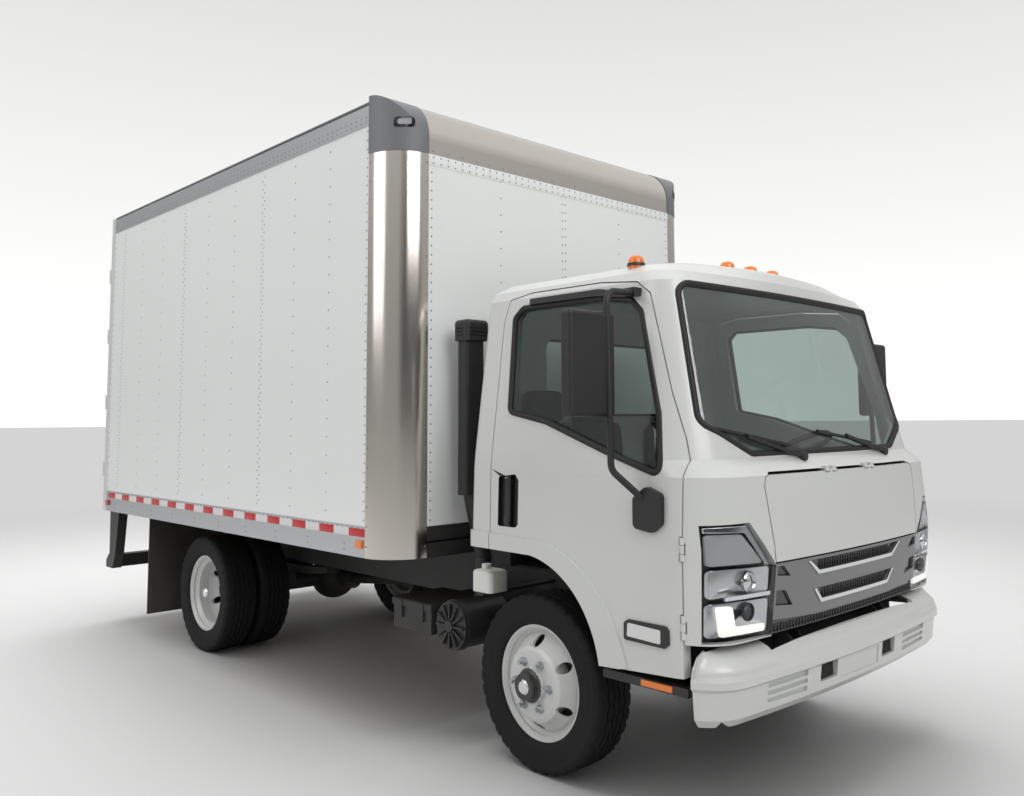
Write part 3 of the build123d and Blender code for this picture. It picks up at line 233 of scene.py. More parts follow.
def glazing(name, tint, shine):
    """Tinted glass that light passes straight through, with a reflection that grows at the edge."""
    FINISH[name], tree = blank_material(name)
    tree.nodes.remove(tree.nodes["Principled BSDF"])
    clear = add_node(tree, "ShaderNodeBsdfTransparent")
    gloss = add_node(tree, "ShaderNodeBsdfGlossy", {"Roughness": 0.03})
    edge = add_node(tree, "ShaderNodeLayerWeight", {"Blend": 0.5})
    steep = add_node(tree, "ShaderNodeMath", {1: 5}, operation="POWER")
    limit = add_node(tree, "ShaderNodeMapRange", {"To Min": shine})
    where = add_node(tree, "ShaderNodeTexCoord")
    film = add_node(tree, "ShaderNodeGroup", {"Colour": (*tint, 1), "Dust": 0.06},
                    node_tree=ROAD_FILM)
    mix = add_node(tree, "ShaderNodeMixShader")
    wire(tree, (where, "Object", film, "Vector"), (film, "Colour", clear, "Color"),
         (edge, "Facing", steep, 0), (steep, 0, limit, "Value"), (limit, "Result", mix, 0),
         (clear, 0, mix, 1), (gloss, 0, mix, 2), (mix, 0, tree.nodes["Material Output"], "Surface"))


glazing("window_glass", (0.83, 0.88, 0.865), 0.08)
# The door glass takes a darker tint than the windscreen. This is partly less see-through glass and
# partly painted shade for the dark reflections in the door windows.
glazing("side_glass_tint_and_shade", (0.70, 0.74, 0.73), 0.06)

for part in frame["record"]["subparts"]:
    shown = NODES[part["node"]].data
    shown.materials.clear()
    shown.materials.append(FINISH[part["material_slot"]])
for node in ("box_side_left", "box_side_right", "box_front"):
    NODES[node].data.materials[0] = FINISH["panel_white"]
# Door windows get the darker glazing, which holds painted shade for their dark reflections.
for _, hand in SIDES:
    NODES[f"door_glass_{hand}"].data.materials[0] = FINISH["side_glass_tint_and_shade"]


# Small helpers for making pieces
def middle(node):
    """The centre of a CAD node's box."""
    low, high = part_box(node)
    return (low + high) / 2


def keep(name, mesh, body, materials, smooth=40):
    """Makes a finished mesh a piece that rides on a body."""
    for material in materials:
        mesh.materials.append(FINISH[material])
    mesh.shade_smooth()
    mesh.set_sharp_from_angle(angle=math.radians(smooth))
    item = bpy.data.objects.new(name, mesh)
    bpy.context.collection.objects.link(item)
    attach(item, body)
    return item


def shaped(name, bm, body, slot, finish_name=None, smooth=40):
    """Closes a bmesh into a piece: doubles merged, faces turned outwards."""
    bmesh.ops.remove_doubles(bm, verts=bm.verts, dist=1e-6)
    bmesh.ops.recalc_face_normals(bm, faces=bm.faces)
    mesh = bpy.data.meshes.new(name)
    bm.to_mesh(mesh)
    bm.free()
    return keep(name, mesh, body, [finish_name or slot], smooth)


def loops_mesh(bm, loops, closed=False):
    """Skins a run of equal loops of points; its ends are joined if closed, else capped."""
    rows = [[bm.verts.new(p) for p in loop] for loop in loops]
    count = len(rows[0])
    pairs = list(zip(rows, rows[1:]))
    if closed:
        pairs.append((rows[-1], rows[0]))
    for first, second in pairs:
        for i in range(count):
            j = (i + 1) % count
            bm.faces.new((first[i], first[j], second[j], second[i]))
    if not closed:
        bm.faces.new(reversed(rows[0]))
        bm.faces.new(rows[-1])


def box_into(bm, low, high, bevel=0.0):
    """Adds a block between two corners, its edges eased by bevel."""
    low, high = Vector(low), Vector(high)
    made = bmesh.ops.create_cube(bm, size=1)["verts"]
    size = [abs(b - a) for a, b in zip(low, high)]
    bmesh.ops.scale(bm, vec=size, verts=made)
    bmesh.ops.translate(bm, vec=(low + high) / 2, verts=made)
    if bevel:
        edges = list({e for v in made for e in v.link_edges})
        bmesh.ops.bevel(bm, geom=edges, offset=bevel, segments=2, affect="EDGES", profile=0.6)


def blocks(name, boxes, body, slot, finish_name=None):
    """A piece made of eased blocks, each (corner, corner, bevel)."""
    bm = bmesh.new()
    for low, high, bevel in boxes:
        box_into(bm, low, high, bevel)
    shaped(name, bm, body, slot, finish_name)


def circle(centre, radius, axis, along=0.0, count=28):
    """Points round a centre, in the plane across an axis, moved along that axis."""
    points = []
    for i in range(count):
        angle = 2 * math.pi * i / count
        point = [radius * math.cos(angle), radius * math.sin(angle)]
        point.insert(axis, along)
        points.append(centre + Vector(point))
    return points


def surface_of(*nodes):
    """A finder of points on CAD nodes, for pieces that sit on their skin."""
    points, faces = [], []
    for node in nodes:
        mesh = NODES[node].data
        first = len(points)
        points += [v.co.copy() for v in mesh.vertices]
        faces += [[first + i for i in f.vertices] for f in mesh.polygons]
    return BVHTree.FromPolygons(points, faces)


# Fasteners: one tree of heads set on points, each turned to its point's facing
def fastener_tree():
    """Nodes that put a turned head of given sides on every point and join them."""
    tree = bpy.data.node_groups.new("fastener_heads", "GeometryNodeTree")
    given, made = sockets(tree, (
        ("Points", "NodeSocketGeometry", None),
        ("Sides", "NodeSocketInt", 8),
        ("Radius", "NodeSocketFloat", 0.006),
        ("Top Radius", "NodeSocketFloat", 0.003),
        ("Height", "NodeSocketFloat", 0.003),
        ("Finish", "NodeSocketMaterial", None),
    ), (("Heads", "NodeSocketGeometry"),))
    head = add_node(tree, "GeometryNodeMeshCone")
    facing = add_node(tree, "GeometryNodeInputNamedAttribute", {"Name": "facing"},
                      data_type="FLOAT_VECTOR")
    turn = add_node(tree, "FunctionNodeAlignRotationToVector", axis="Z")
    place = add_node(tree, "GeometryNodeInstanceOnPoints")
    real = add_node(tree, "GeometryNodeRealizeInstances")
    paint = add_node(tree, "GeometryNodeSetMaterial")
    wire(tree, (given, "Sides", head, "Vertices"), (given, "Top Radius", head, "Radius Top"),
         (given, "Radius", head, "Radius Bottom"), (given, "Height", head, "Depth"),
         (facing, "Attribute", turn, "Vector"), (given, "Points", place, "Points"),
         (head, "Mesh", place, "Instance"), (turn, "Rotation", place, "Rotation"),
         (place, "Instances", real, "Geometry"), (real, "Geometry", paint, "Geometry"),
         (given, "Finish", paint, "Material"), (paint, "Geometry", made, "Heads"))
    return tree


FASTENERS = fastener_tree()


def fasteners(name, places, body, slot, finish_name, sides=8, radius=0.006, top=0.003,
              height=0.003):
    """Sets a head at each (point, facing), all in one plain mesh piece."""
    mesh = bpy.data.meshes.new(name)
    mesh.from_pydata([p for p, _ in places], [], [])
    facing = mesh.attributes.new("facing", "FLOAT_VECTOR", "POINT")
    for i, (_, way) in enumerate(places):
        facing.data[i].vector = way
    points = bpy.data.objects.new(name + "_points", mesh)
    bpy.context.collection.objects.link(points)
    modifier = points.modifiers.new("heads", "NODES")
    modifier.node_group = FASTENERS
    values = {"Sides": sides, "Radius": radius, "Top Radius": top, "Height": height,
              "Finish": FINISH[finish_name]}
    for item in FASTENERS.interface.items_tree:
        if item.item_type == "SOCKET" and item.in_out == "INPUT" and item.name in values:
            modifier[item.identifier] = values[item.name]
    graph = bpy.context.evaluated_depsgraph_get()
    graph.update()
    heads = bpy.data.meshes.new_from_object(points.evaluated_get(graph))
    heads.name = name
    bpy.data.objects.remove(points)
    keep(name, heads, body, [] if heads.materials else [finish_name])


# Tyres: revolved sections with ribs, zigzag grooves and notched shoulders
TYRE_R = (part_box("tyre_front_left")[1].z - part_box("tyre_front_left")[0].z) / 2
TYRE_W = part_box("tyre_front_left")[1].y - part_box("tyre_front_left")[0].y
TREAD_STEPS = 144
GROOVE = 0.011
ZIGZAG = 0.0035
NOTCH = 0.008
DRAWN_WIDTH = 0.226  # of the section below
TYRE_HALF = (  # depth_below_tread, half_width, zigzag, notched
    (0.143, 0.087, 0, 0),
    (0.136, 0.098, 0, 0),
    (0.118, 0.1065, 0, 0),
    (0.112, 0.1082, 0, 0),
    (0.108, 0.1080, 0, 0),
    (0.085, 0.1124, 0, 0),
    (0.060, 0.1129, 0, 0),
    (0.040, 0.1118, 0, 0),
    (0.037, 0.1128, 0, 0),
    (0.028, 0.1120, 0, 1),
    (0.012, 0.1065, 0, 1),
    (0.004, 0.0980, 0, 1),
    (0.0015, 0.0880, 0, 1),
    (0.001, 0.0640, 0, 0),
    (0.0005, 0.0560, 1, 0),
    (GROOVE, 0.0535, 1, 0),
    (GROOVE, 0.0475, 1, 0),
    (0.0, 0.0450, 1, 0),
    (0.0, 0.0210, -1, 0),
    (GROOVE, 0.0190, -1, 0),
    (GROOVE, 0.0130, -1, 0),
    (0.0, 0.0110, -1, 0),
)


def tyre_loop(step, axle, y):
    """One section of a tyre at a step round the wheel."""
    angle = 2 * math.pi * step / TREAD_STEPS
    swing = ZIGZAG * (1 if step // 2 % 2 else -1)
    notch = NOTCH if step % 4 == 0 else 0.0
    section = [(d, w, z, n, 1) for d, w, z, n in TYRE_HALF]
    section += [(d, w, z, n, -1) for d, w, z, n in reversed(TYRE_HALF)]
    points = []
    for depth, half, zigzag, notched, hand in section:
        radius = TYRE_R - depth - notched * notch
        across = y + hand * half * TYRE_W / DRAWN_WIDTH + zigzag * swing
        points.append((axle.x + radius * math.cos(angle), across,
                       axle.z + radius * math.sin(angle)))
    return points


def tyres():
    """All six tyres, a piece for each body's pair or single."""
    for _, hand in SIDES:
        for node, body in ((f"tyre_front_{hand}", f"wheel_front_{hand}"),
                           (f"tyres_rear_{hand}", f"wheels_rear_{hand}")):
            low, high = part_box(node)
            axle = middle(node)
            rows = sorted({round(low.y + TYRE_W / 2, 4), round(high.y - TYRE_W / 2, 4)})
            bm = bmesh.new()
            for y in rows:
                loops_mesh(bm, [tyre_loop(step, axle, y) for step in range(TREAD_STEPS)], True)
            item = shaped(f"tread_{node}", bm, body, "tyre_rubber", smooth=30)
            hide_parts(node)


tyres()

# Load body: rivets and reflective tape
RIVET_PITCH = 0.1
CLOSE_PITCH = RIVET_PITCH / 2
RIVET_HEAD = {"radius": 0.0055, "top": 0.0025}
RIVET_EDGE = 0.06  # from the end of a row to the panel's edge
CLOSE_EDGE = 0.03
EDGE_COLUMN = 0.02  # from a panel's edge to the column beside it
POST_COLUMN = 0.012
HEAD_EDGE = 0.05
LAST_SEAM = 0.05  # least from a seam to the side wall's back end
TOP_RAIL_ROWS = (0.022, 0.05)  # above the side wall's top
FOOT_RAIL_ROW, FOOT_RAIL_IN = 0.012, 0.005  # below the wall's foot, behind the top rail's face
SILL_ROWS, SILL_END = (0.03, 0.062), 0.2  # above the rails' foot, from the wall's ends
HEADER_ROWS = (0.02, -0.025)  # from the front wall's top
SEAM_PITCH = 0.403
SEAM_OFFSET = 0.013
SEAM_STAGGER = 0.012
TAPE_PITCH = 0.15
TAPE_HEIGHT = 0.048
TAPE_DROP = 0.062  # from the side panel's foot
PLATE_EASE = 0.0008
SIDE_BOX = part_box("box_side_right")
WALL_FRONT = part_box("box_front")
RAIL_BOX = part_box("box_rails")


def run(start, stop, pitch):
    """Evenly spaced values between two ends, near the pitch."""
    count = max(1, round(abs(stop - start) / pitch))
    return [start + (stop - start) * i / count for i in range(count + 1)]


def rivet_column(x, y, low, high, pitch, out):
    """A column of rivets between two heights."""
    return [((x, y, z), out) for z in run(low, high, pitch)]


def side_rivets(side):
    """The rivets of one side wall, its rails and its corner post."""
    places = []
    front, back = SIDE_BOX[1].x, SIDE_BOX[0].x
    low, high = SIDE_BOX[0].z, SIDE_BOX[1].z
    post_low, post_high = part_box("corner_posts")
    wall = WALL_FRONT[1]
    out = (0, side, 0)
    skin = side * max(abs(SIDE_BOX[0].y), abs(SIDE_BOX[1].y))
    rail = side * RAIL_BOX[1].y
    for column in range(1, int((front - back - LAST_SEAM) / SEAM_PITCH) + 1):
        x = front - column * SEAM_PITCH
        if column % 3:
            places += rivet_column(x, skin, low + RIVET_EDGE, high - RIVET_EDGE, RIVET_PITCH, out)
            continue
        for hand in (1, -1):
            shift = SEAM_STAGGER * hand
            places += rivet_column(x + hand * SEAM_OFFSET, skin, low + RIVET_EDGE + shift,
                                   high - RIVET_EDGE + shift, CLOSE_PITCH, out)
    for edge in (front - EDGE_COLUMN, back + EDGE_COLUMN):
        places += rivet_column(edge, skin, low + CLOSE_EDGE, high - CLOSE_EDGE, CLOSE_PITCH, out)
    rows = [(rail, high + rise) for rise in TOP_RAIL_ROWS]
    rows.append((rail - side * FOOT_RAIL_IN, low - FOOT_RAIL_ROW))
    for y, z in rows:
        along = run(back + CLOSE_EDGE, front - CLOSE_EDGE, CLOSE_PITCH)
        places += [((x, y, z), out) for x in along]
    for x in run(back + SILL_END, front - SILL_END, SEAM_PITCH):
        places += [((x, rail, RAIL_BOX[0].z + rise), out) for rise in SILL_ROWS]
    for z in run(post_low.z + RIVET_EDGE, post_high.z - HEAD_EDGE, RIVET_PITCH):
        places.append(((front + POST_COLUMN, side * post_high.y, z), out))
        places.append(((wall.x, side * (wall.y + POST_COLUMN), z), AHEAD))
    return places


def front_rivets():
    """The rivets of the front wall and its header."""
    places = []
    low, wall = SIDE_BOX[0].z, WALL_FRONT[1]
    foot, head = low + RIVET_EDGE, wall.z - RIVET_EDGE
    for y in (-wall.y / 2, wall.y / 2):
        places += rivet_column(wall.x, y, foot, head, RIVET_PITCH, AHEAD)
    for hand in (1, -1):
        places += rivet_column(wall.x, hand * SEAM_OFFSET, foot + SEAM_STAGGER * hand, head,
                               CLOSE_PITCH, AHEAD)
        places += rivet_column(wall.x, hand * (wall.y - EDGE_COLUMN), low + CLOSE_EDGE,
                               wall.z - HEAD_EDGE, CLOSE_PITCH, AHEAD)
    for rise in HEADER_ROWS:
        across = run(CLOSE_EDGE - wall.y, wall.y - CLOSE_EDGE, RIVET_PITCH)
        places += [((wall.x, y, wall.z + rise), AHEAD) for y in across]
    return places


def body_rivets():
    """Rivet rows on the walls, rails, posts and header."""
    places = side_rivets(1) + side_rivets(-1) + front_rivets()
    fasteners("body_rivets", places, "chassis", "aluminium_rail", "rivet_grey", **RIVET_HEAD)


def reflective_tape():
    """The run of red and white blocks on each lower rail."""
    front, back = SIDE_BOX[1].x, SIDE_BOX[0].x
    z_low = SIDE_BOX[0].z - TAPE_DROP
    for name, first in (("red_tape", 0), ("white_tape", 1)):
        bm = bmesh.new()
        for side, _ in SIDES:
            ends = run(back + 0.04, front - 0.01, TAPE_PITCH)
            skin = side * (RAIL_BOX[1].y - 0.005)
            for i in range(first, len(ends) - 1, 2):
                box_into(bm, (ends[i], skin - side * 0.001, z_low),
                         (ends[i + 1], skin + side * 0.0012, z_low + TAPE_HEIGHT), PLATE_EASE)
        shaped(f"rail_{name}", bm, "chassis", "aluminium_rail", name)


body_rivets()
reflective_tape()


# Wheels: painted steel with dark hubs, nuts on studs and centre caps
HUB_REACH = 0.079
STUD_RADIUS = 0.222 / 2
FRONT_FACE, REAR_FACE = 0.059, 0.189  # from the hub's tip in to the disc
NUT = {"sides": 6, "radius": 0.0205, "top": 0.018, "height": 0.024}
STUD = {"sides": 10, "radius": 0.011, "top": 0.010, "height": 0.040}
HUB_CAP = {"sides": 24, "radius": 0.034, "top": 0.027, "height": 0.006}


def wheel_dress():
    """Dark hubs by radius on the CAD wheels, with nuts and bright centre caps."""
    for side, hand in SIDES:
        for node, inset in ((f"wheel_front_{hand}", FRONT_FACE),
                            (f"wheels_rear_{hand}", REAR_FACE)):
            axle = middle(node)
            low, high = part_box(node)
            mesh = NODES[node].data
            mesh.materials.append(FINISH["hub_black"])
            for face in mesh.polygons:
                reach = math.hypot(face.center.x - axle.x, face.center.z - axle.z)
                face.material_index = 1 if reach < HUB_REACH else 0
            tip = high.y if side > 0 else low.y
            out = (0, side, 0)
            centre = Vector((axle.x, 0, axle.z))
            places = [(p, out) for p in circle(centre, STUD_RADIUS, 1, tip - side * inset, 6)]
            fasteners(f"nuts_{node}", places, node, "wheel_white", "nut_steel", **NUT)
            fasteners(f"studs_{node}", places, node, "wheel_white", "nut_steel", **STUD)
            fasteners(f"cap_{node}", [((axle.x, tip, axle.z), out)], node, "wheel_white",
                      "bright_chrome", **HUB_CAP)


wheel_dress()


# Beads and gaskets that follow the edge of a CAD pane
OUTWARD = 0.35  # least share of the axis in the normal of a pane's outer faces
BEAD_STEP = 0.012
SCREEN_BEAD, REAR_BEAD, DOOR_BEAD = 0.016, 0.013, 0.015
DOOR_BEAD_OUT = 0.012


def rim_loop(node, axis, sign):
    """The outer edge of a pane's outward face, as ordered points."""
    bm = bmesh.new()
    bm.from_mesh(NODES[node].data)
    bmesh.ops.remove_doubles(bm, verts=bm.verts, dist=1e-5)
    bm.normal_update()
    bm.edges.index_update()
    chosen = {f for f in bm.faces if f.normal[axis] * sign > OUTWARD}
    edges = {e for f in chosen for e in f.edges if sum(g in chosen for g in e.link_faces) == 1}
    loops = []
    while edges:
        edge = min(edges, key=lambda e: e.index)  # the same start in every run
        edges.discard(edge)
        path = [edge.verts[0], edge.verts[1]]
        while True:
            step = next((e for e in path[-1].link_edges if e in edges), None)
            if step is None:
                break
            edges.discard(step)
            path.append(step.other_vert(path[-1]))
        loops.append([v.co.copy() for v in path])
    bm.free()
    return [loop for loop in loops if len(loop) > 8]


def bead(name, loop, body, radius):
    """A rubber bead swept along a closed run of points."""
    if (loop[0] - loop[-1]).length < 1e-4:
        loop = loop[:-1]
    spaced = [loop[0]]
    for point in loop[1:]:
        if (point - spaced[-1]).length > BEAD_STEP:
            spaced.append(point)
    curve = bpy.data.curves.new(name, "CURVE")
    curve.dimensions = "3D"
    spline = curve.splines.new("POLY")
    spline.points.add(len(spaced) - 1)
    for i, point in enumerate(spaced):
        spline.points[i].co = (*point, 1)
    spline.use_cyclic_u = True
    curve.bevel_depth = radius
    curve.bevel_resolution = 2
    holder = bpy.data.objects.new(name + "_path", curve)
    bpy.context.collection.objects.link(holder)
    graph = bpy.context.evaluated_depsgraph_get()
    graph.update()
    mesh = bpy.data.meshes.new_from_object(holder.evaluated_get(graph))
    mesh.materials.clear()
    bpy.data.objects.remove(holder)
    keep(name, mesh, body, ["seal_rubber"], smooth=60)


def gaskets():
    """Black rubber round the windscreen, rear window and door windows."""
    for i, loop in enumerate(rim_loop("cab_glass", 0, 1)):
        if max(p.x for p in loop) > AXLE_X:
            bead(f"screen_gasket_{i}", loop, "cab", SCREEN_BEAD)
    for i, loop in enumerate(rim_loop("cab_glass", 0, -1)):
        if max(p.x for p in loop) < AXLE_X:
            bead(f"rear_gasket_{i}", loop, "cab", REAR_BEAD)
    for side, hand in SIDES:
        for i, loop in enumerate(rim_loop(f"door_glass_{hand}", 1, side)):
            lifted = [p + Vector((0, side * DOOR_BEAD_OUT, 0)) for p in loop]
            bead(f"window_seal_{hand}_{i}", lifted, f"door_{hand}", DOOR_BEAD)


gaskets()


# Plates that lie on a CAD skin: an outline in two axes, dropped on the skin along the third
def on_skin(skin, axis, sign, u, v):
    """The point of a skin seen from outside at two coordinates."""
    far = [u, v]
    far.insert(axis, sign * 20)
    way = Vector((0, 0, 0))
    way[axis] = -sign
    return skin.ray_cast(Vector(far), way)[0]


def rounded(points, radius, steps=4):
    """An outline with its corners turned into short arcs."""
    made = []
    for i, point in enumerate(points):
        here, before = Vector(point), Vector(points[i - 1])
        after = Vector(points[(i + 1) % len(points)])
        a = here + (before - here).normalized() * min(radius, (before - here).length * 0.45)
        b = here + (after - here).normalized() * min(radius, (after - here).length * 0.45)
        for k in range(steps + 1):
            t = k / steps
            made.append((1 - t) ** 2 * a + 2 * t * (1 - t) * here + t ** 2 * b)
    return [tuple(p) for p in made]


def patch(name, skin, axis, sign, outline, body, slot, finish_name, lift, depth, ease=0.0):
    """A plate with the outline given, following the skin, from depth below it to lift above."""
    normal = Vector((0, 0, 0))
    normal[axis] = sign
    seat = [on_skin(skin, axis, sign, u, v) for u, v in outline]
    if any(p is None for p in seat):
        raise ValueError(f"{name} runs off its skin")
    centre = sum(seat, Vector()) / len(seat)
    loops = [[p - normal * depth for p in seat], [p + normal * (lift - ease) for p in seat]]
    if ease:
        loops.append([p + (centre - p).normalized() * ease + normal * lift for p in seat])
    bm = bmesh.new()
    loops_mesh(bm, loops)
    shaped(name, bm, body, slot, finish_name)


def tinted(node, finish_name, test):
    """Gives the faces of a CAD node that pass a test another finish."""
    mesh = NODES[node].data
    mesh.materials.append(FINISH[finish_name])
    index = len(mesh.materials) - 1
    for face in mesh.polygons:
        if test(face):
            face.material_index = index


def within(value, low, high):
    """True between two limits."""
    return low <= value <= high


HANDLE_POCKET = ((-0.179, -0.033), (1.117, 1.369), 0.985)  # x from the axle, z, least |y|
SIDE_LAMP = ((0.620, 0.858), (0.716, 0.807), 1.0205)
DOOR_PLATES = (  # name, slot, finish, lift, depth, ease, rounding, outline (x from the axle, z)
    ("handle_grip", "black_plastic", "gloss_black", 0.010, 0.002, 0.006, 0.02,
     ((-0.135, 1.135), (-0.085, 1.135), (-0.085, 1.352), (-0.135, 1.352))),
    ("lamp_lens", "clear_lamp", "white_tape", 0.004, 0.001, 0.002, 0.008,
     ((0.640, 0.738), (0.815, 0.732), (0.815, 0.786), (0.644, 0.792))),
    ("rain_visor", "black_plastic", "black_plastic", 0.022, 0.002, 0.008, 0,
     ((-0.05, 2.176), (0.40, 2.172), (0.585, 2.148), (0.6, 2.17), (0.41, 2.205), (-0.05, 2.205))),
)


def dark_on_door(face):
    """True for the faces of a door's handle pocket and lamp housing."""
    at = face.center
    return any(within(at.x - AXLE_X, *x) and within(at.z, *z) and abs(at.y) > least
               for x, z, least in (HANDLE_POCKET, SIDE_LAMP))


def door_trim():
    """Handle recess, side lamp and rain visor of each door."""
    for side, hand in SIDES:
        body = f"door_{hand}"
        skin = surface_of(body)
        tinted(body, "black_plastic", dark_on_door)
        for name, slot, coat, lift, depth, ease, soft, outline in DOOR_PLATES:
            line = [(AXLE_X + x, z) for x, z in outline]
            line = rounded(line, soft) if soft else line
            patch(f"{name}_{hand}", skin, 1, side, line, body, slot, coat, lift, depth, ease)


door_trim()


# Headlamps: a clear cover over bowls, light bars and grey housings
LAMP_PARTS = (  # name, finish, depth_from_skin, thickness, outline (|y|, z), rounding
    ("housing", "lamp_dark", 0.034, 0.010,
     ((0.66, 0.755), (0.66, 1.028), (0.808, 1.203), (0.978, 1.197), (0.978, 0.758)), 0.01),
    ("upper", "lamp_grey", 0.020, 0.012,
     ((0.72, 1.045), (0.835, 1.165), (0.965, 1.165), (0.965, 1.045)), 0.015),
    ("rim", "bright_chrome", 0.014, 0.01,
     ((0.685, 1.035), (0.812, 1.198), (0.97, 1.192), (0.97, 1.172), (0.825, 1.172),
      (0.71, 1.035)), 0.004),
    ("mid", "lamp_silver", 0.026, 0.006,
     ((0.672, 0.925), (0.672, 1.028), (0.965, 1.03), (0.965, 0.92)), 0.02),
    ("mid_lip", "bright_chrome", 0.012, 0.012,
     ((0.668, 0.912), (0.668, 0.928), (0.91, 0.928), (0.91, 0.912)), 0.004),
    ("low", "lamp_silver", 0.028, 0.006,
     ((0.668, 0.77), (0.668, 0.9), (0.965, 0.9), (0.965, 0.77)), 0.02),
    ("bar", "light_bar", 0.012, 0.012,
     ((0.69, 0.772), (0.69, 0.802), (0.868, 0.81), (0.885, 0.892), (0.94, 0.892),
      (0.925, 0.775)), 0.012),
)
LAMP_BOWLS = (  # name, |y|, z, radius, finish
    ("indicator", 0.80, 0.978, 0.042, "bright_chrome"),
    ("beam", 0.79, 0.858, 0.036, "lamp_dark"),
)
BOWL_BACK = 0.028
BOWL_RINGS = ((1, 0.0), (1, 0.012), (0.86, 0.016), (0.8, 0.006), (0.5, 0.012), (0.2, 0.017))


def headlamps():
    """Clear covers copied from the CAD lamps' outer skin, with the housings behind."""
    skin = surface_of("headlamps")
    bm = bmesh.new()
    bm.from_mesh(NODES["headlamps"].data)
    bmesh.ops.remove_doubles(bm, verts=bm.verts, dist=1e-5)
    bm.normal_update()
    inward = [f for f in bm.faces
              if f.normal.x < 0.3 and abs(f.normal.y) < 0.93 or f.normal.x < -0.1]
    bmesh.ops.delete(bm, geom=inward, context="FACES")
    flat = [f for f in bm.faces if abs(f.normal.z) > 0.9]
    bmesh.ops.delete(bm, geom=flat, context="FACES")
    cover = bpy.data.meshes.new("lamp_covers")
    bm.to_mesh(cover)
    bm.free()
    item = keep("lamp_covers", cover, "cab", ["clear_lamp"], smooth=50)
    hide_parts("headlamps")
    for side, hand in SIDES:
        for name, coat, deep, thick, outline, soft in LAMP_PARTS:
            shape = rounded([(side * y, z) for y, z in outline], soft)
            patch(f"lamp_{name}_{hand}", skin, 0, 1, shape, "cab", "clear_lamp", coat,
                  -deep, deep + thick, 0.002)
        for name, y, z, radius, coat in LAMP_BOWLS:
            seat = on_skin(skin, 0, 1, side * y, z) - Vector((BOWL_BACK, 0, 0))
            bm = bmesh.new()
            rings = [circle(seat, radius * share, 0, ahead) for share, ahead in BOWL_RINGS]
            loops_mesh(bm, rings)
            shaped(f"lamp_{name}_{hand}", bm, "cab", "clear_lamp", coat)


headlamps()


# Wipers lie on the windscreen, from spindles on the cowl
WIPERS = (  # spindle, arm's tip, blade's ends (y, z)
    ((-0.30, 1.452), (-0.66, 1.545), (-0.86, 1.585), (-0.36, 1.502)),
    ((0.50, 1.452), (0.14, 1.535), (-0.10, 1.56), (0.40, 1.498)),
)
ARM_WIDE, ARM_LIFT = 0.011, 0.026
BLADE_WIDE, BLADE_LIFT = 0.008, 0.014
WIPER_HUB = ((0.024, -0.004), (0.024, 0.022), (0.018, 0.032))  # radius, out from the skin
WIPER_STEPS = 12


def wipers():
    """Two arms with blades across the foot of the windscreen."""
    skin = surface_of("cab_glass", "cab_front")
    for i, (spindle, tip, first, last) in enumerate(WIPERS):
        bm = bmesh.new()
        for start, end, wide, lift in ((spindle, tip, ARM_WIDE, ARM_LIFT),
                                       (first, last, BLADE_WIDE, BLADE_LIFT)):
            section = ((-0.012, -wide), (0.004, -wide * 0.7), (0.004, wide * 0.7), (-0.012, wide))
            loops = []
            for k in range(WIPER_STEPS + 1):
                t = k / WIPER_STEPS
                seat = on_skin(skin, 0, 1, *(a + (b - a) * t for a, b in zip(start, end)))
                loops.append([seat + Vector((lift + dx, 0, dz)) for dx, dz in section])
            loops_mesh(bm, loops)
        hub = on_skin(skin, 0, 1, *spindle)
        rings = [circle(hub, radius, 0, ahead, 16) for radius, ahead in WIPER_HUB]
        loops_mesh(bm, rings)
        shaped(f"wiper_{i}", bm, "cab", "black_plastic")


wipers()


# Brake drums, dark behind the hand holes of the wheels
DRUM_RADII = (0.158, 0.208)
DRUM_BACK = 0.03
DRUM_WIDTH = 0.03


def brake_drums():
    """A dark drum behind the hand holes of each outer wheel."""
    small, large = DRUM_RADII
    for side, hand in SIDES:
        for node in (f"wheel_front_{hand}", f"wheels_rear_{hand}"):
            axle = middle(node)
            skin = surface_of(node)
            outside = [on_skin(skin, 1, side, axle.x + r, axle.z).y
                       for r in (small, large, (small + large) / 2)]
            face = side * (min(side * y for y in outside) - DRUM_BACK)
            back = face - side * DRUM_WIDTH
            centre = Vector((axle.x, 0, axle.z))
            bm = bmesh.new()
            loops_mesh(bm, [circle(centre, radius, 1, y, 48) for radius, y in
                            ((small, face), (large, face), (large, back), (small, back))], True)
            shaped(f"brake_drum_{node}", bm, node, "axle_iron")


brake_drums()


# Mirror glass on the rear face of each mirror head
MIRROR_PANE = (0.022, 0.247)  # from the head's outer end to the pane's two sides
MIRROR_Z = (1.655, 2.036)


def mirror_glass():
    """A rounded reflective pane set in the back of each mirror."""
    for side, hand in SIDES:
        low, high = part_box(f"mirror_{hand}")
        skin = surface_of(f"mirror_{hand}")
        out = high.y if side > 0 else low.y
        edge, inner = (out - side * reach for reach in MIRROR_PANE)
        foot, head = MIRROR_Z
        pane = rounded([(edge, foot), (inner, foot), (inner, head), (edge, head)], 0.03)
        patch(f"mirror_pane_{hand}", skin, 0, -1, pane, f"door_{hand}", "black_plastic",
              "mirror_glass", 0.002, 0.003)


mirror_glass()


# Grille: bright lips, black mesh with upright ribs in the openings and below
GRILLE_LOW = (0.745, 1.110)  # z and front x of the cab's skin at the grille's foot
GRILLE_HIGH = (1.030, 1.142)
GRILLE_BOW = 17.2
GRILLE_OPENINGS = (  # low_z, high_z, half_width at low_z, half_width at high_z
    (0.976, 1.019, 0.335, 0.405),
    (0.852, 0.896, 0.300, 0.345),
    (0.752, 0.786, 0.640, 0.640),
)
RIB_PITCH, RIB_HALF = 0.022, 0.004
WIRE_PITCH, WIRE_LENGTH = 0.014, 0.06
DARK_DEPTH, LIP_DEPTH = 0.009, -0.002  # behind the cab's front


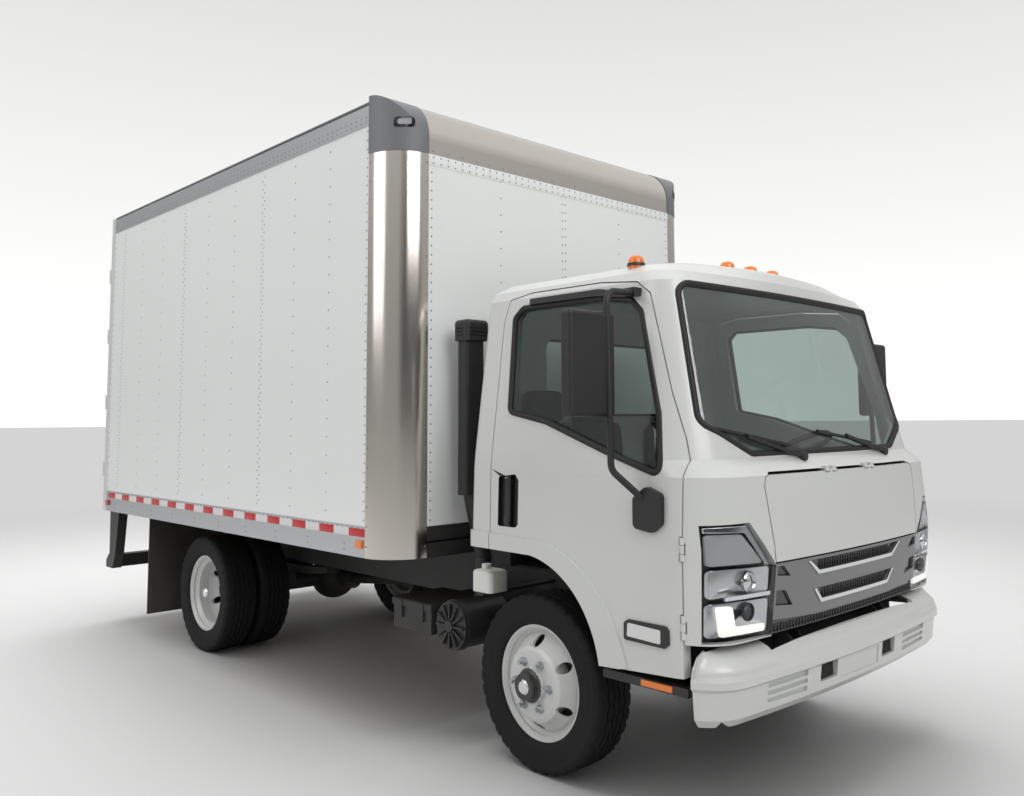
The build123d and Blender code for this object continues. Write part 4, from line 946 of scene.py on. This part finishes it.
def grille_depth(point):
    """How far a point lies behind the cab's bowed front at the grille."""
    rise = (point.z - GRILLE_LOW[0]) / (GRILLE_HIGH[0] - GRILLE_LOW[0])
    front = GRILLE_LOW[1] + (GRILLE_HIGH[1] - GRILLE_LOW[1]) * rise
    return AXLE_X + front - point.y ** 2 / GRILLE_BOW - point.x


def grille_dress():
    """Finishes of the CAD grille by depth, and the ribs of its mesh."""
    tinted("grille", "gloss_black", lambda face: grille_depth(face.center) > DARK_DEPTH)
    tinted("grille", "bright_chrome", lambda face: grille_depth(face.center) < LIP_DEPTH)
    skin = surface_of("grille")
    bm = bmesh.new()
    for low, high, half_low, half_high in GRILLE_OPENINGS:
        for y in run(-half_high, half_high, RIB_PITCH):
            if abs(y) <= half_low:
                seat = on_skin(skin, 0, 1, y, (low + high) / 2)
                box_into(bm, (seat.x - 0.002, y - RIB_HALF, low),
                         (seat.x + 0.004, y + RIB_HALF, high), 0.001)
        for z in run(low + RIB_HALF, high - RIB_HALF, WIRE_PITCH):
            for y in run(-half_low, half_low, WIRE_LENGTH)[:-1]:
                seat = on_skin(skin, 0, 1, y + WIRE_LENGTH / 2, z)
                box_into(bm, (seat.x - 0.002, y, z - 0.0015),
                         (seat.x + 0.0025, y + WIRE_LENGTH, z + 0.0015))
    shaped("grille_mesh", bm, "cab", "silver_grille", "black_plastic")


grille_dress()


# Seats: crowned cushions with head rests
def cushion(name, low, high, lean=0.0, power=7):
    """A stuffed block with rounded edges and crowned faces, leaning back with height."""
    low, high = Vector(low), Vector(high)
    centre, half = (low + high) / 2, (high - low) / 2
    bm = bmesh.new()
    bmesh.ops.create_cube(bm, size=2)
    bmesh.ops.subdivide_edges(bm, edges=bm.edges, cuts=9, use_grid_fill=True)
    for vert in bm.verts:
        size = sum(abs(v) ** power for v in vert.co) ** (1 / power)
        spread = vert.co / size
        vert.co = centre + Vector(a * b for a, b in zip(spread, half))
        vert.co.x -= lean * (vert.co.z - low.z)
    item = shaped(name, bm, "cab", "seat_cloth", smooth=60)
    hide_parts("seats")


SEAT_SPANS = ((0.25, 0.73), (-0.405, -0.04), (-0.78, -0.415))  # y of each place
BASE_HEIGHT = 0.14
HEAD_HALF = 0.125


def seats():
    """The driver's seat and the double seat beside it."""
    low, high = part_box("seats")
    base_top = low.z + BASE_HEIGHT
    for i, (right, left) in enumerate(SEAT_SPANS):
        cushion(f"seat_base_{i}", (low.x + 0.06, right, low.z), (high.x, left, base_top + 0.005))
        cushion(f"seat_back_{i}", (low.x + 0.03, right + 0.01, base_top - 0.02),
                (low.x + 0.145, left - 0.01, high.z - 0.17), lean=0.05)
        middle_y = (right + left) / 2
        cushion(f"head_rest_{i}", (low.x + 0.005, middle_y - HEAD_HALF, high.z - 0.175),
                (low.x + 0.085, middle_y + HEAD_HALF, high.z - 0.005), power=5)


seats()


# Lamps and markers of the load body and cab
ROOF_LAMPS = (  # x from the axle, y
    (0.515, 0.79), (0.515, -0.79), (0.60, 0.20), (0.60, 0.0), (0.60, -0.20),
)
LAMP_DOME = (  # radius, rise
    (0.036, -0.02), (0.036, 0.022), (0.034, 0.034), (0.028, 0.043), (0.018, 0.049), (0.006, 0.051),
)
LAMP_FOOT = {"sides": 28, "radius": 0.043, "top": 0.040, "height": 0.012}
REVERSING_LAMP = (1.028, 1.112)  # |y| of the clear part of each tail lamp
TAIL_TOP = 1.2
SILL_REFLECTOR = ((0.69, 0.85), (0.546, 0.571))  # x from the axle, z


def markers():
    """Amber front markers, roof lamps on black feet, and amber reflectors on the cab sills."""
    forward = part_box("corner_posts")[0].x - 0.2
    tinted("box_lamps", "amber_lamp", lambda face: face.center.x > forward)
    tinted("box_lamps", "white_tape", lambda face: (
        face.center.z < TAIL_TOP and within(abs(face.center.y), *REVERSING_LAMP)))
    roof = surface_of("cab_roof")
    feet = []
    bm = bmesh.new()
    for x, y in ROOF_LAMPS:
        seat = on_skin(roof, 2, 1, AXLE_X + x, y)
        feet.append((seat + Vector((0, 0, 0.002)), (0, 0, 1)))
        loops_mesh(bm, [circle(seat, reach, 2, rise) for reach, rise in LAMP_DOME])
    domes = shaped("roof_lamp_domes", bm, "cab", "amber_lamp", smooth=50)
    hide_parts("roof_lamps")
    fasteners("roof_lamp_feet", feet, "cab", "black_plastic", "black_plastic", **LAMP_FOOT)
    (back, front), (low, high) = SILL_REFLECTOR
    for side, hand in SIDES:
        edge = side * max(abs(v.y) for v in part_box("cab_steps"))
        plate = ((AXLE_X + back, edge - side * 0.004, low),
                 (AXLE_X + front, edge + side * 0.005, high), 0.002)
        blocks(f"sill_reflector_{hand}", [plate], "cab", "amber_lamp")


markers()


# Front bumper: the shelf's ends run back under the headlamps
SHELF_LEVELS = (  # z, front, half_width, corner_radius of the bumper's plan
    (0.640, 1.1475, 1.035, 0.195),
    (0.662, 1.140, 1.030, 0.190),
    (0.681, 1.118, 1.021, 0.1775),
    (0.700, 1.096, 1.012, 0.165),
    (0.710, 1.071, 1.001, 0.1475),
    (0.720, 1.046, 0.990, 0.130),
)
SHELF_INNER = 0.655
SHELF_BACK = 0.985
SHELF_SKIN = (0.002, 0, 0.006)
SHELF_PROUD = 0.0004
BUMPER_BOW = 8.6


def shelf_row(z, front, half, corner, side):
    """One level of the shelf, from its inner end round the corner to its tail."""
    bow_y = (half - corner) / (1 - corner / BUMPER_BOW)
    lean = math.asin(bow_y / BUMPER_BOW)
    bow_x = front - BUMPER_BOW + math.sqrt(BUMPER_BOW ** 2 - bow_y ** 2)
    centre = (bow_x - corner * math.cos(lean), bow_y - corner * math.sin(lean))
    row = []
    for i in range(7):
        y = SHELF_INNER + (bow_y - SHELF_INNER) * i / 6
        row.append((front - BUMPER_BOW + math.sqrt(BUMPER_BOW ** 2 - y ** 2), y))
    for i in range(1, 13):
        angle = lean + (math.pi / 2 - lean) * i / 12
        row.append((centre[0] + corner * math.cos(angle), centre[1] + corner * math.sin(angle)))
    return [Vector((AXLE_X + max(x, SHELF_BACK + 0.001), side * y, z)) for x, y in row]


def bumper_shelf():
    """A thin white skin over each end of the bumper that closes its top back to the cab."""
    for side, hand in SIDES:
        bm = bmesh.new()
        rows = [shelf_row(*level, side) for level in SHELF_LEVELS]
        top = [Vector((AXLE_X + SHELF_BACK, p.y, p.z)) for p in rows[-1]]
        outer = rows + [top]
        proud = Vector((SHELF_PROUD, side * SHELF_PROUD, SHELF_PROUD))
        under = [[p - Vector(SHELF_SKIN) for p in row] for row in outer]
        above = [[p + proud for p in row] for row in outer]
        grid = [[bm.verts.new(p) for p in row] for row in above]
        base = [[bm.verts.new(p) for p in row] for row in under]
        count, rises = len(grid[0]), len(grid)
        for r in range(rises - 1):
            for c in range(count - 1):
                bm.faces.new((grid[r][c], grid[r][c + 1], grid[r + 1][c + 1], grid[r + 1][c]))
                bm.faces.new((base[r][c], base[r + 1][c], base[r + 1][c + 1], base[r][c + 1]))
        edge = [(0, c) for c in range(count)] + [(r, count - 1) for r in range(1, rises)]
        edge += [(rises - 1, c) for c in range(count - 2, -1, -1)]
        edge += [(r, 0) for r in range(rises - 2, 0, -1)]
        for (r1, c1), (r2, c2) in zip(edge, edge[1:] + edge[:1]):
            bm.faces.new((grid[r1][c1], base[r1][c1], base[r2][c2], grid[r2][c2]))
        shaped(f"bumper_shelf_{hand}", bm, "chassis", "white_paint", smooth=50)


bumper_shelf()


TOW_OPENING = ((0.211, 0.344), (0.509, 0.583))  # |y|, z
TOW_PROBE = (0.20, 0.545)  # |y|, z of the bumper's face beside an opening
TOW_DEPTHS = (0.05, 0.022)  # of a block's back and front behind that face
# Corners of a dark plate behind the bumper, x from the axle: painted shade below the grille.
PAINTED_SHADE_PLATE = ((0.940, -0.68, 0.50), (0.950, 0.68, 0.72))  # corners, x from the axle


def tow_openings():
    """Dark blocks behind the two tow openings of the bumper: painted shade inside the openings."""
    (inner, outer), (low, high) = TOW_OPENING
    probe_y, probe_z = TOW_PROBE
    skin = surface_of("front_bumper")
    boxes = []
    for side, _ in SIDES:
        face = on_skin(skin, 0, 1, side * probe_y, probe_z).x
        back, front = (face - depth for depth in TOW_DEPTHS)
        boxes.append(((back, side * inner, low), (front, side * outer, high), 0.002))
    blocks("tow_openings", boxes, "chassis", "black_plastic", "painted_shade_black")


def painted_shade_plate():
    """A dark plate behind the bumper that closes the view below the grille: painted shade where the
    shadowed space behind it would show.
    """
    low, high = ((AXLE_X + x, y, z) for x, y, z in PAINTED_SHADE_PLATE)
    blocks("painted_shade_plate", [(low, high, 0.002)], "chassis", "black_plastic", "painted_shade_black")


tow_openings()
painted_shade_plate()


# Load body: riveted strip under the header, lamps in the corner caps, dark roof edges
STRIP_PROUD = 0.003
STRIP_ROWS = (0.048, 0.014)  # below the front wall's top
CAP_PLATES = (  # name, slot, finish, lift, depth, ease, rounding, outline (|y|, z)
    ("cap_lamp_frame", "grey_cap", "gloss_black", 0.005, 0.005, 0.003, 0.02,
     ((1.105, 3.185), (1.20, 3.178), (1.20, 3.236), (1.105, 3.243))),
    ("cap_lamp", "clear_lamp", "lamp_grey", 0.008, 0.001, 0.002, 0.012,
     ((1.125, 3.197), (1.185, 3.193), (1.185, 3.224), (1.125, 3.228))),
)


def body_trim():
    """Trim round the top of the load body."""
    wall = WALL_FRONT[1]
    face = wall.x + STRIP_PROUD
    strip = ((wall.x - 0.001, -wall.y, wall.z - 0.06), (face, wall.y, wall.z - 0.002), PLATE_EASE)
    blocks("header_strip", [strip], "chassis", "white_paint", "panel_white")
    across = run(CLOSE_EDGE - wall.y, wall.y - CLOSE_EDGE, CLOSE_PITCH)
    places = [((face, y, wall.z - drop), AHEAD) for drop in STRIP_ROWS for y in across]
    fasteners("header_rivets", places, "chassis", "aluminium_rail", "rivet_grey", **RIVET_HEAD)
    caps = surface_of("corner_caps")
    for side, hand in SIDES:
        for name, slot, coat, lift, depth, ease, soft, outline in CAP_PLATES:
            line = rounded([(side * y, z) for y, z in outline], soft)
            patch(f"{name}_{hand}", caps, 0, 1, line, "chassis", slot, coat, lift, depth, ease)
    rail = RAIL_BOX[1]
    for side, hand in SIDES:
        edge = ((SIDE_BOX[0].x, side * (rail.y - 0.016), rail.z - 0.004),
                (SIDE_BOX[1].x, side * (rail.y - 0.006), rail.z + 0.006), 0.002)
        blocks(f"roof_edge_{hand}", [edge], "chassis", "grey_cap")


body_trim()


# Rear doors: lock handles, seals round the leaves and a blank plate
LEAF_FACE = 0.068  # behind the side walls' end
LOCK_Z = (1.42, 1.50)  # heights of a lock bar's two keepers
KEEPER_Y, KEEPER_HALF = (0.30, 0.36), 0.03  # |y|, half the height
LEVER = ((0.10, 0.345), (1.445, 1.475))  # |y|, z
LEAF_SEAL = ((0.004, 1.132), (1.058, 3.052), 0.022)  # |y|, z and width of the rubber
PLATE_SEAT = 0.034  # from the rear frame's back to the face under the plate
PLATES = (  # name, finish, half_width, low, high, proud
    ("plate_frame", "black_plastic", 0.165, 0.928, 1.032, 0.004),
    ("plate_blank", "white_tape", 0.152, 0.936, 1.024, 0.006),
)


def rear_trim():
    """Handles on the lock bars, seals at the leaves' edges and the bare number plate."""
    (near, far), (foot, head), wide = LEAF_SEAL
    (lever_in, lever_out), (lever_low, lever_high) = LEVER
    face = SIDE_BOX[0].x - LEAF_FACE
    for side, hand in SIDES:
        body = f"rear_door_{hand}"
        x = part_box(body)[0].x
        boxes = [((x - 0.002, side * KEEPER_Y[0], z - KEEPER_HALF),
                  (x + 0.03, side * KEEPER_Y[1], z + KEEPER_HALF), 0.004) for z in LOCK_Z]
        boxes.append(((x - 0.012, side * lever_in, lever_low),
                      (x + 0.002, side * lever_out, lever_high), 0.005))
        blocks(f"lock_handle_{hand}", boxes, body, "aluminium_rail", "nut_steel")
        inner, outer, band = side * near, side * far, side * wide
        bands = (((inner, foot), (inner + band, head)), ((outer - band, foot), (outer, head)),
                 ((inner, foot), (outer, foot + wide)), ((inner, head - wide), (outer, head)))
        boxes = [((face - 0.005, *start), (face + 0.001, *end), 0.001) for start, end in bands]
        blocks(f"leaf_seal_{hand}", boxes, body, "black_plastic", "seal_rubber")
    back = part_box("rear_frame")[0].x + PLATE_SEAT
    for name, coat, half, low, high, proud in PLATES:
        plate = ((back - proud, -half, low), (back + 0.001, half, high), 0.001)
        blocks(name, [plate], "chassis", "black_plastic", coat)


rear_trim()


# Stage: pale floor, soft light and the camera at the photograph's place
FLOOR_FADE = (6.0, 16.0)  # distance from the truck's middle
FLOOR_REACH = 600
FLOOR_NEAR = (0.80, 0.80, 0.80, 1)
FLOOR_FAR = (0.66, 0.66, 0.66, 1)
SKY_TINT = (1.0, 1.0, 0.99)
SKY_RISE = 0.6
SKY_LIGHT, SKY_SHINE, SKY_PICTURE = (0.06, 0.55), (0.30, 0.80), (1.12, 0.62)  # horizon, overhead
DARK_AHEAD = (0.97, -0.25, 0.0)  # the way in which reflections meet a darker part of the room
DARK_EDGE = (0.80, 0.97)
DARK_SHARE = 0.15


def stage_floor():
    """A wide pale floor under the wheels, which keeps its brightness far from the lamps."""
    material, tree = blank_material("pale_floor")
    shader = tree.nodes["Principled BSDF"]
    shader.inputs["Base Color"].default_value = FLOOR_NEAR
    shader.inputs["Roughness"].default_value = 0.55
    shader.inputs["Specular IOR Level"].default_value = 0.2
    where = add_node(tree, "ShaderNodeNewGeometry")
    away = add_node(tree, "ShaderNodeVectorMath", operation="LENGTH")
    fade = add_node(tree, "ShaderNodeMapRange",
                    {"From Min": FLOOR_FADE[0], "From Max": FLOOR_FADE[1]},
                    interpolation_type="SMOOTHSTEP")
    path = add_node(tree, "ShaderNodeLightPath")
    seen = add_node(tree, "ShaderNodeMath", operation="MULTIPLY")
    pale = add_node(tree, "ShaderNodeEmission", {"Color": FLOOR_FAR})
    mix = add_node(tree, "ShaderNodeMixShader")
    wire(tree, (where, "Position", away, 0), (away, "Value", fade, "Value"),
         (fade, "Result", seen, 0), (path, "Is Camera Ray", seen, 1), (seen, 0, mix, 0),
         (shader, 0, mix, 1), (pale, 0, mix, 2), (mix, 0, tree.nodes["Material Output"], "Surface"))
    reach = FLOOR_REACH
    mesh = bpy.data.meshes.new("floor")
    corners = [(-reach, -reach, 0), (reach, -reach, 0), (reach, reach, 0), (-reach, reach, 0)]
    mesh.from_pydata(corners, [], [(0, 1, 2, 3)])
    mesh.materials.append(material)
    floor = bpy.data.objects.new("floor", mesh)
    bpy.context.collection.objects.link(floor)
    return floor


def sky_layer(tree, split, low, high):
    """A background whose strength goes from low at the horizon to high overhead."""
    scale = add_node(tree, "ShaderNodeMapRange",
                     {"From Min": 0.0, "From Max": SKY_RISE, "To Min": low, "To Max": high})
    layer = add_node(tree, "ShaderNodeBackground", {"Color": (*SKY_TINT, 1)})
    wire(tree, (split, "Z", scale, "Value"), (scale, "Result", layer, "Strength"))
    return layer


def stage_sky():
    """A sky with one brightness for light, one for reflections and one for the picture."""
    world = bpy.data.worlds.new("studio")
    bpy.context.scene.world = world
    world.use_nodes = True
    tree = world.node_tree
    tree.nodes.remove(tree.nodes["Background"])
    where = add_node(tree, "ShaderNodeTexCoord")
    split = add_node(tree, "ShaderNodeSeparateXYZ")
    wire(tree, (where, "Generated", split, 0))
    light = sky_layer(tree, split, *SKY_LIGHT)
    shine = sky_layer(tree, split, *SKY_SHINE)
    picture = sky_layer(tree, split, *SKY_PICTURE)
    ahead = add_node(tree, "ShaderNodeVectorMath", {1: DARK_AHEAD}, operation="DOT_PRODUCT")
    dim = add_node(tree, "ShaderNodeMapRange", {
        "From Min": DARK_EDGE[0], "From Max": DARK_EDGE[1], "To Min": 1.0, "To Max": DARK_SHARE,
    }, interpolation_type="SMOOTHSTEP")
    shaded = add_node(tree, "ShaderNodeVectorMath", {0: SKY_TINT}, operation="SCALE")
    path = add_node(tree, "ShaderNodeLightPath")
    first = add_node(tree, "ShaderNodeMixShader")
    second = add_node(tree, "ShaderNodeMixShader")
    wire(tree, (where, "Generated", ahead, 0), (ahead, "Value", dim, "Value"),
         (dim, "Result", shaded, "Scale"), (shaded, "Vector", shine, "Color"),
         (path, "Is Glossy Ray", first, 0), (light, 0, first, 1), (shine, 0, first, 2),
         (path, "Is Camera Ray", second, 0), (first, 0, second, 1), (picture, 0, second, 2),
         (second, 0, tree.nodes["World Output"], "Surface"))


def stage_light(floor):
    """A wide panel overhead, and three panels that leave the floor's shadow alone."""
    beyond = bpy.data.collections.new("not_the_floor")
    beyond.objects.link(floor)
    beyond.collection_objects[0].light_linking.link_state = "EXCLUDE"
    lamps = (  # name, place, target, size, power, lights_floor, mirrored
        ("overhead", (-2.5, 0.5, 11.0), (-1.5, -0.5, 0.0), 12.0, 1250, True, False),
        ("front", (11.0, -2.5, 7.5), (0.0, 0.0, 1.8), 6.0, 500, False, True),
        ("side", (-2.0, -11.0, 6.5), (-1.0, 0.0, 1.6), 7.0, 260, False, True),
        ("back", (-9.0, 5.0, 7.0), (0.0, 0.0, 1.6), 6.0, 240, False, False),
    )
    for name, place, target, size, power, lights_floor, mirrored in lamps:
        lamp = bpy.data.lights.new(name, "AREA")
        lamp.shape = "SQUARE"
        lamp.size = size
        lamp.energy = power
        item = bpy.data.objects.new(name, lamp)
        item.location = place
        aim = Vector(target) - Vector(place)
        item.rotation_euler = aim.to_track_quat("-Z", "Y").to_euler()
        item.visible_glossy = mirrored
        bpy.context.collection.objects.link(item)
        if not lights_floor:
            item.light_linking.receiver_collection = beyond


def stage_camera():
    """The camera at the place and turn found from the photograph."""
    yaw, pitch, roll = (math.radians(v) for v in (CAMERA_YAW, CAMERA_PITCH, CAMERA_ROLL))
    level = math.cos(pitch)
    look = Vector((math.cos(yaw) * level, math.sin(yaw) * level, math.sin(pitch)))
    right = Vector((math.sin(yaw), -math.cos(yaw), 0))
    up = right.cross(look)
    across = math.cos(roll) * right + math.sin(roll) * up
    above = across.cross(look)
    data = bpy.data.cameras.new("camera")
    data.sensor_width = SENSOR
    data.lens = SENSOR * FOCAL_PIXELS / PICTURE[0]
    data.shift_x = (PICTURE[0] / 2 - OPTICAL_CENTRE[0]) / PICTURE[0]
    data.shift_y = (OPTICAL_CENTRE[1] - PICTURE[1] / 2) / PICTURE[0]
    data.clip_end = 2000
    camera = bpy.data.objects.new("camera", data)
    turn = Matrix((across, above, -look)).transposed().to_4x4()
    place = Vector(CAMERA_FROM_AXLE) + Vector((AXLE_X, 0, 0))
    camera.matrix_world = Matrix.Translation(place) @ turn
    bpy.context.collection.objects.link(camera)
    bpy.context.scene.camera = camera


stage_sky()
stage_light(stage_floor())
stage_camera()
bpy.context.scene.view_settings.view_transform = "Standard"
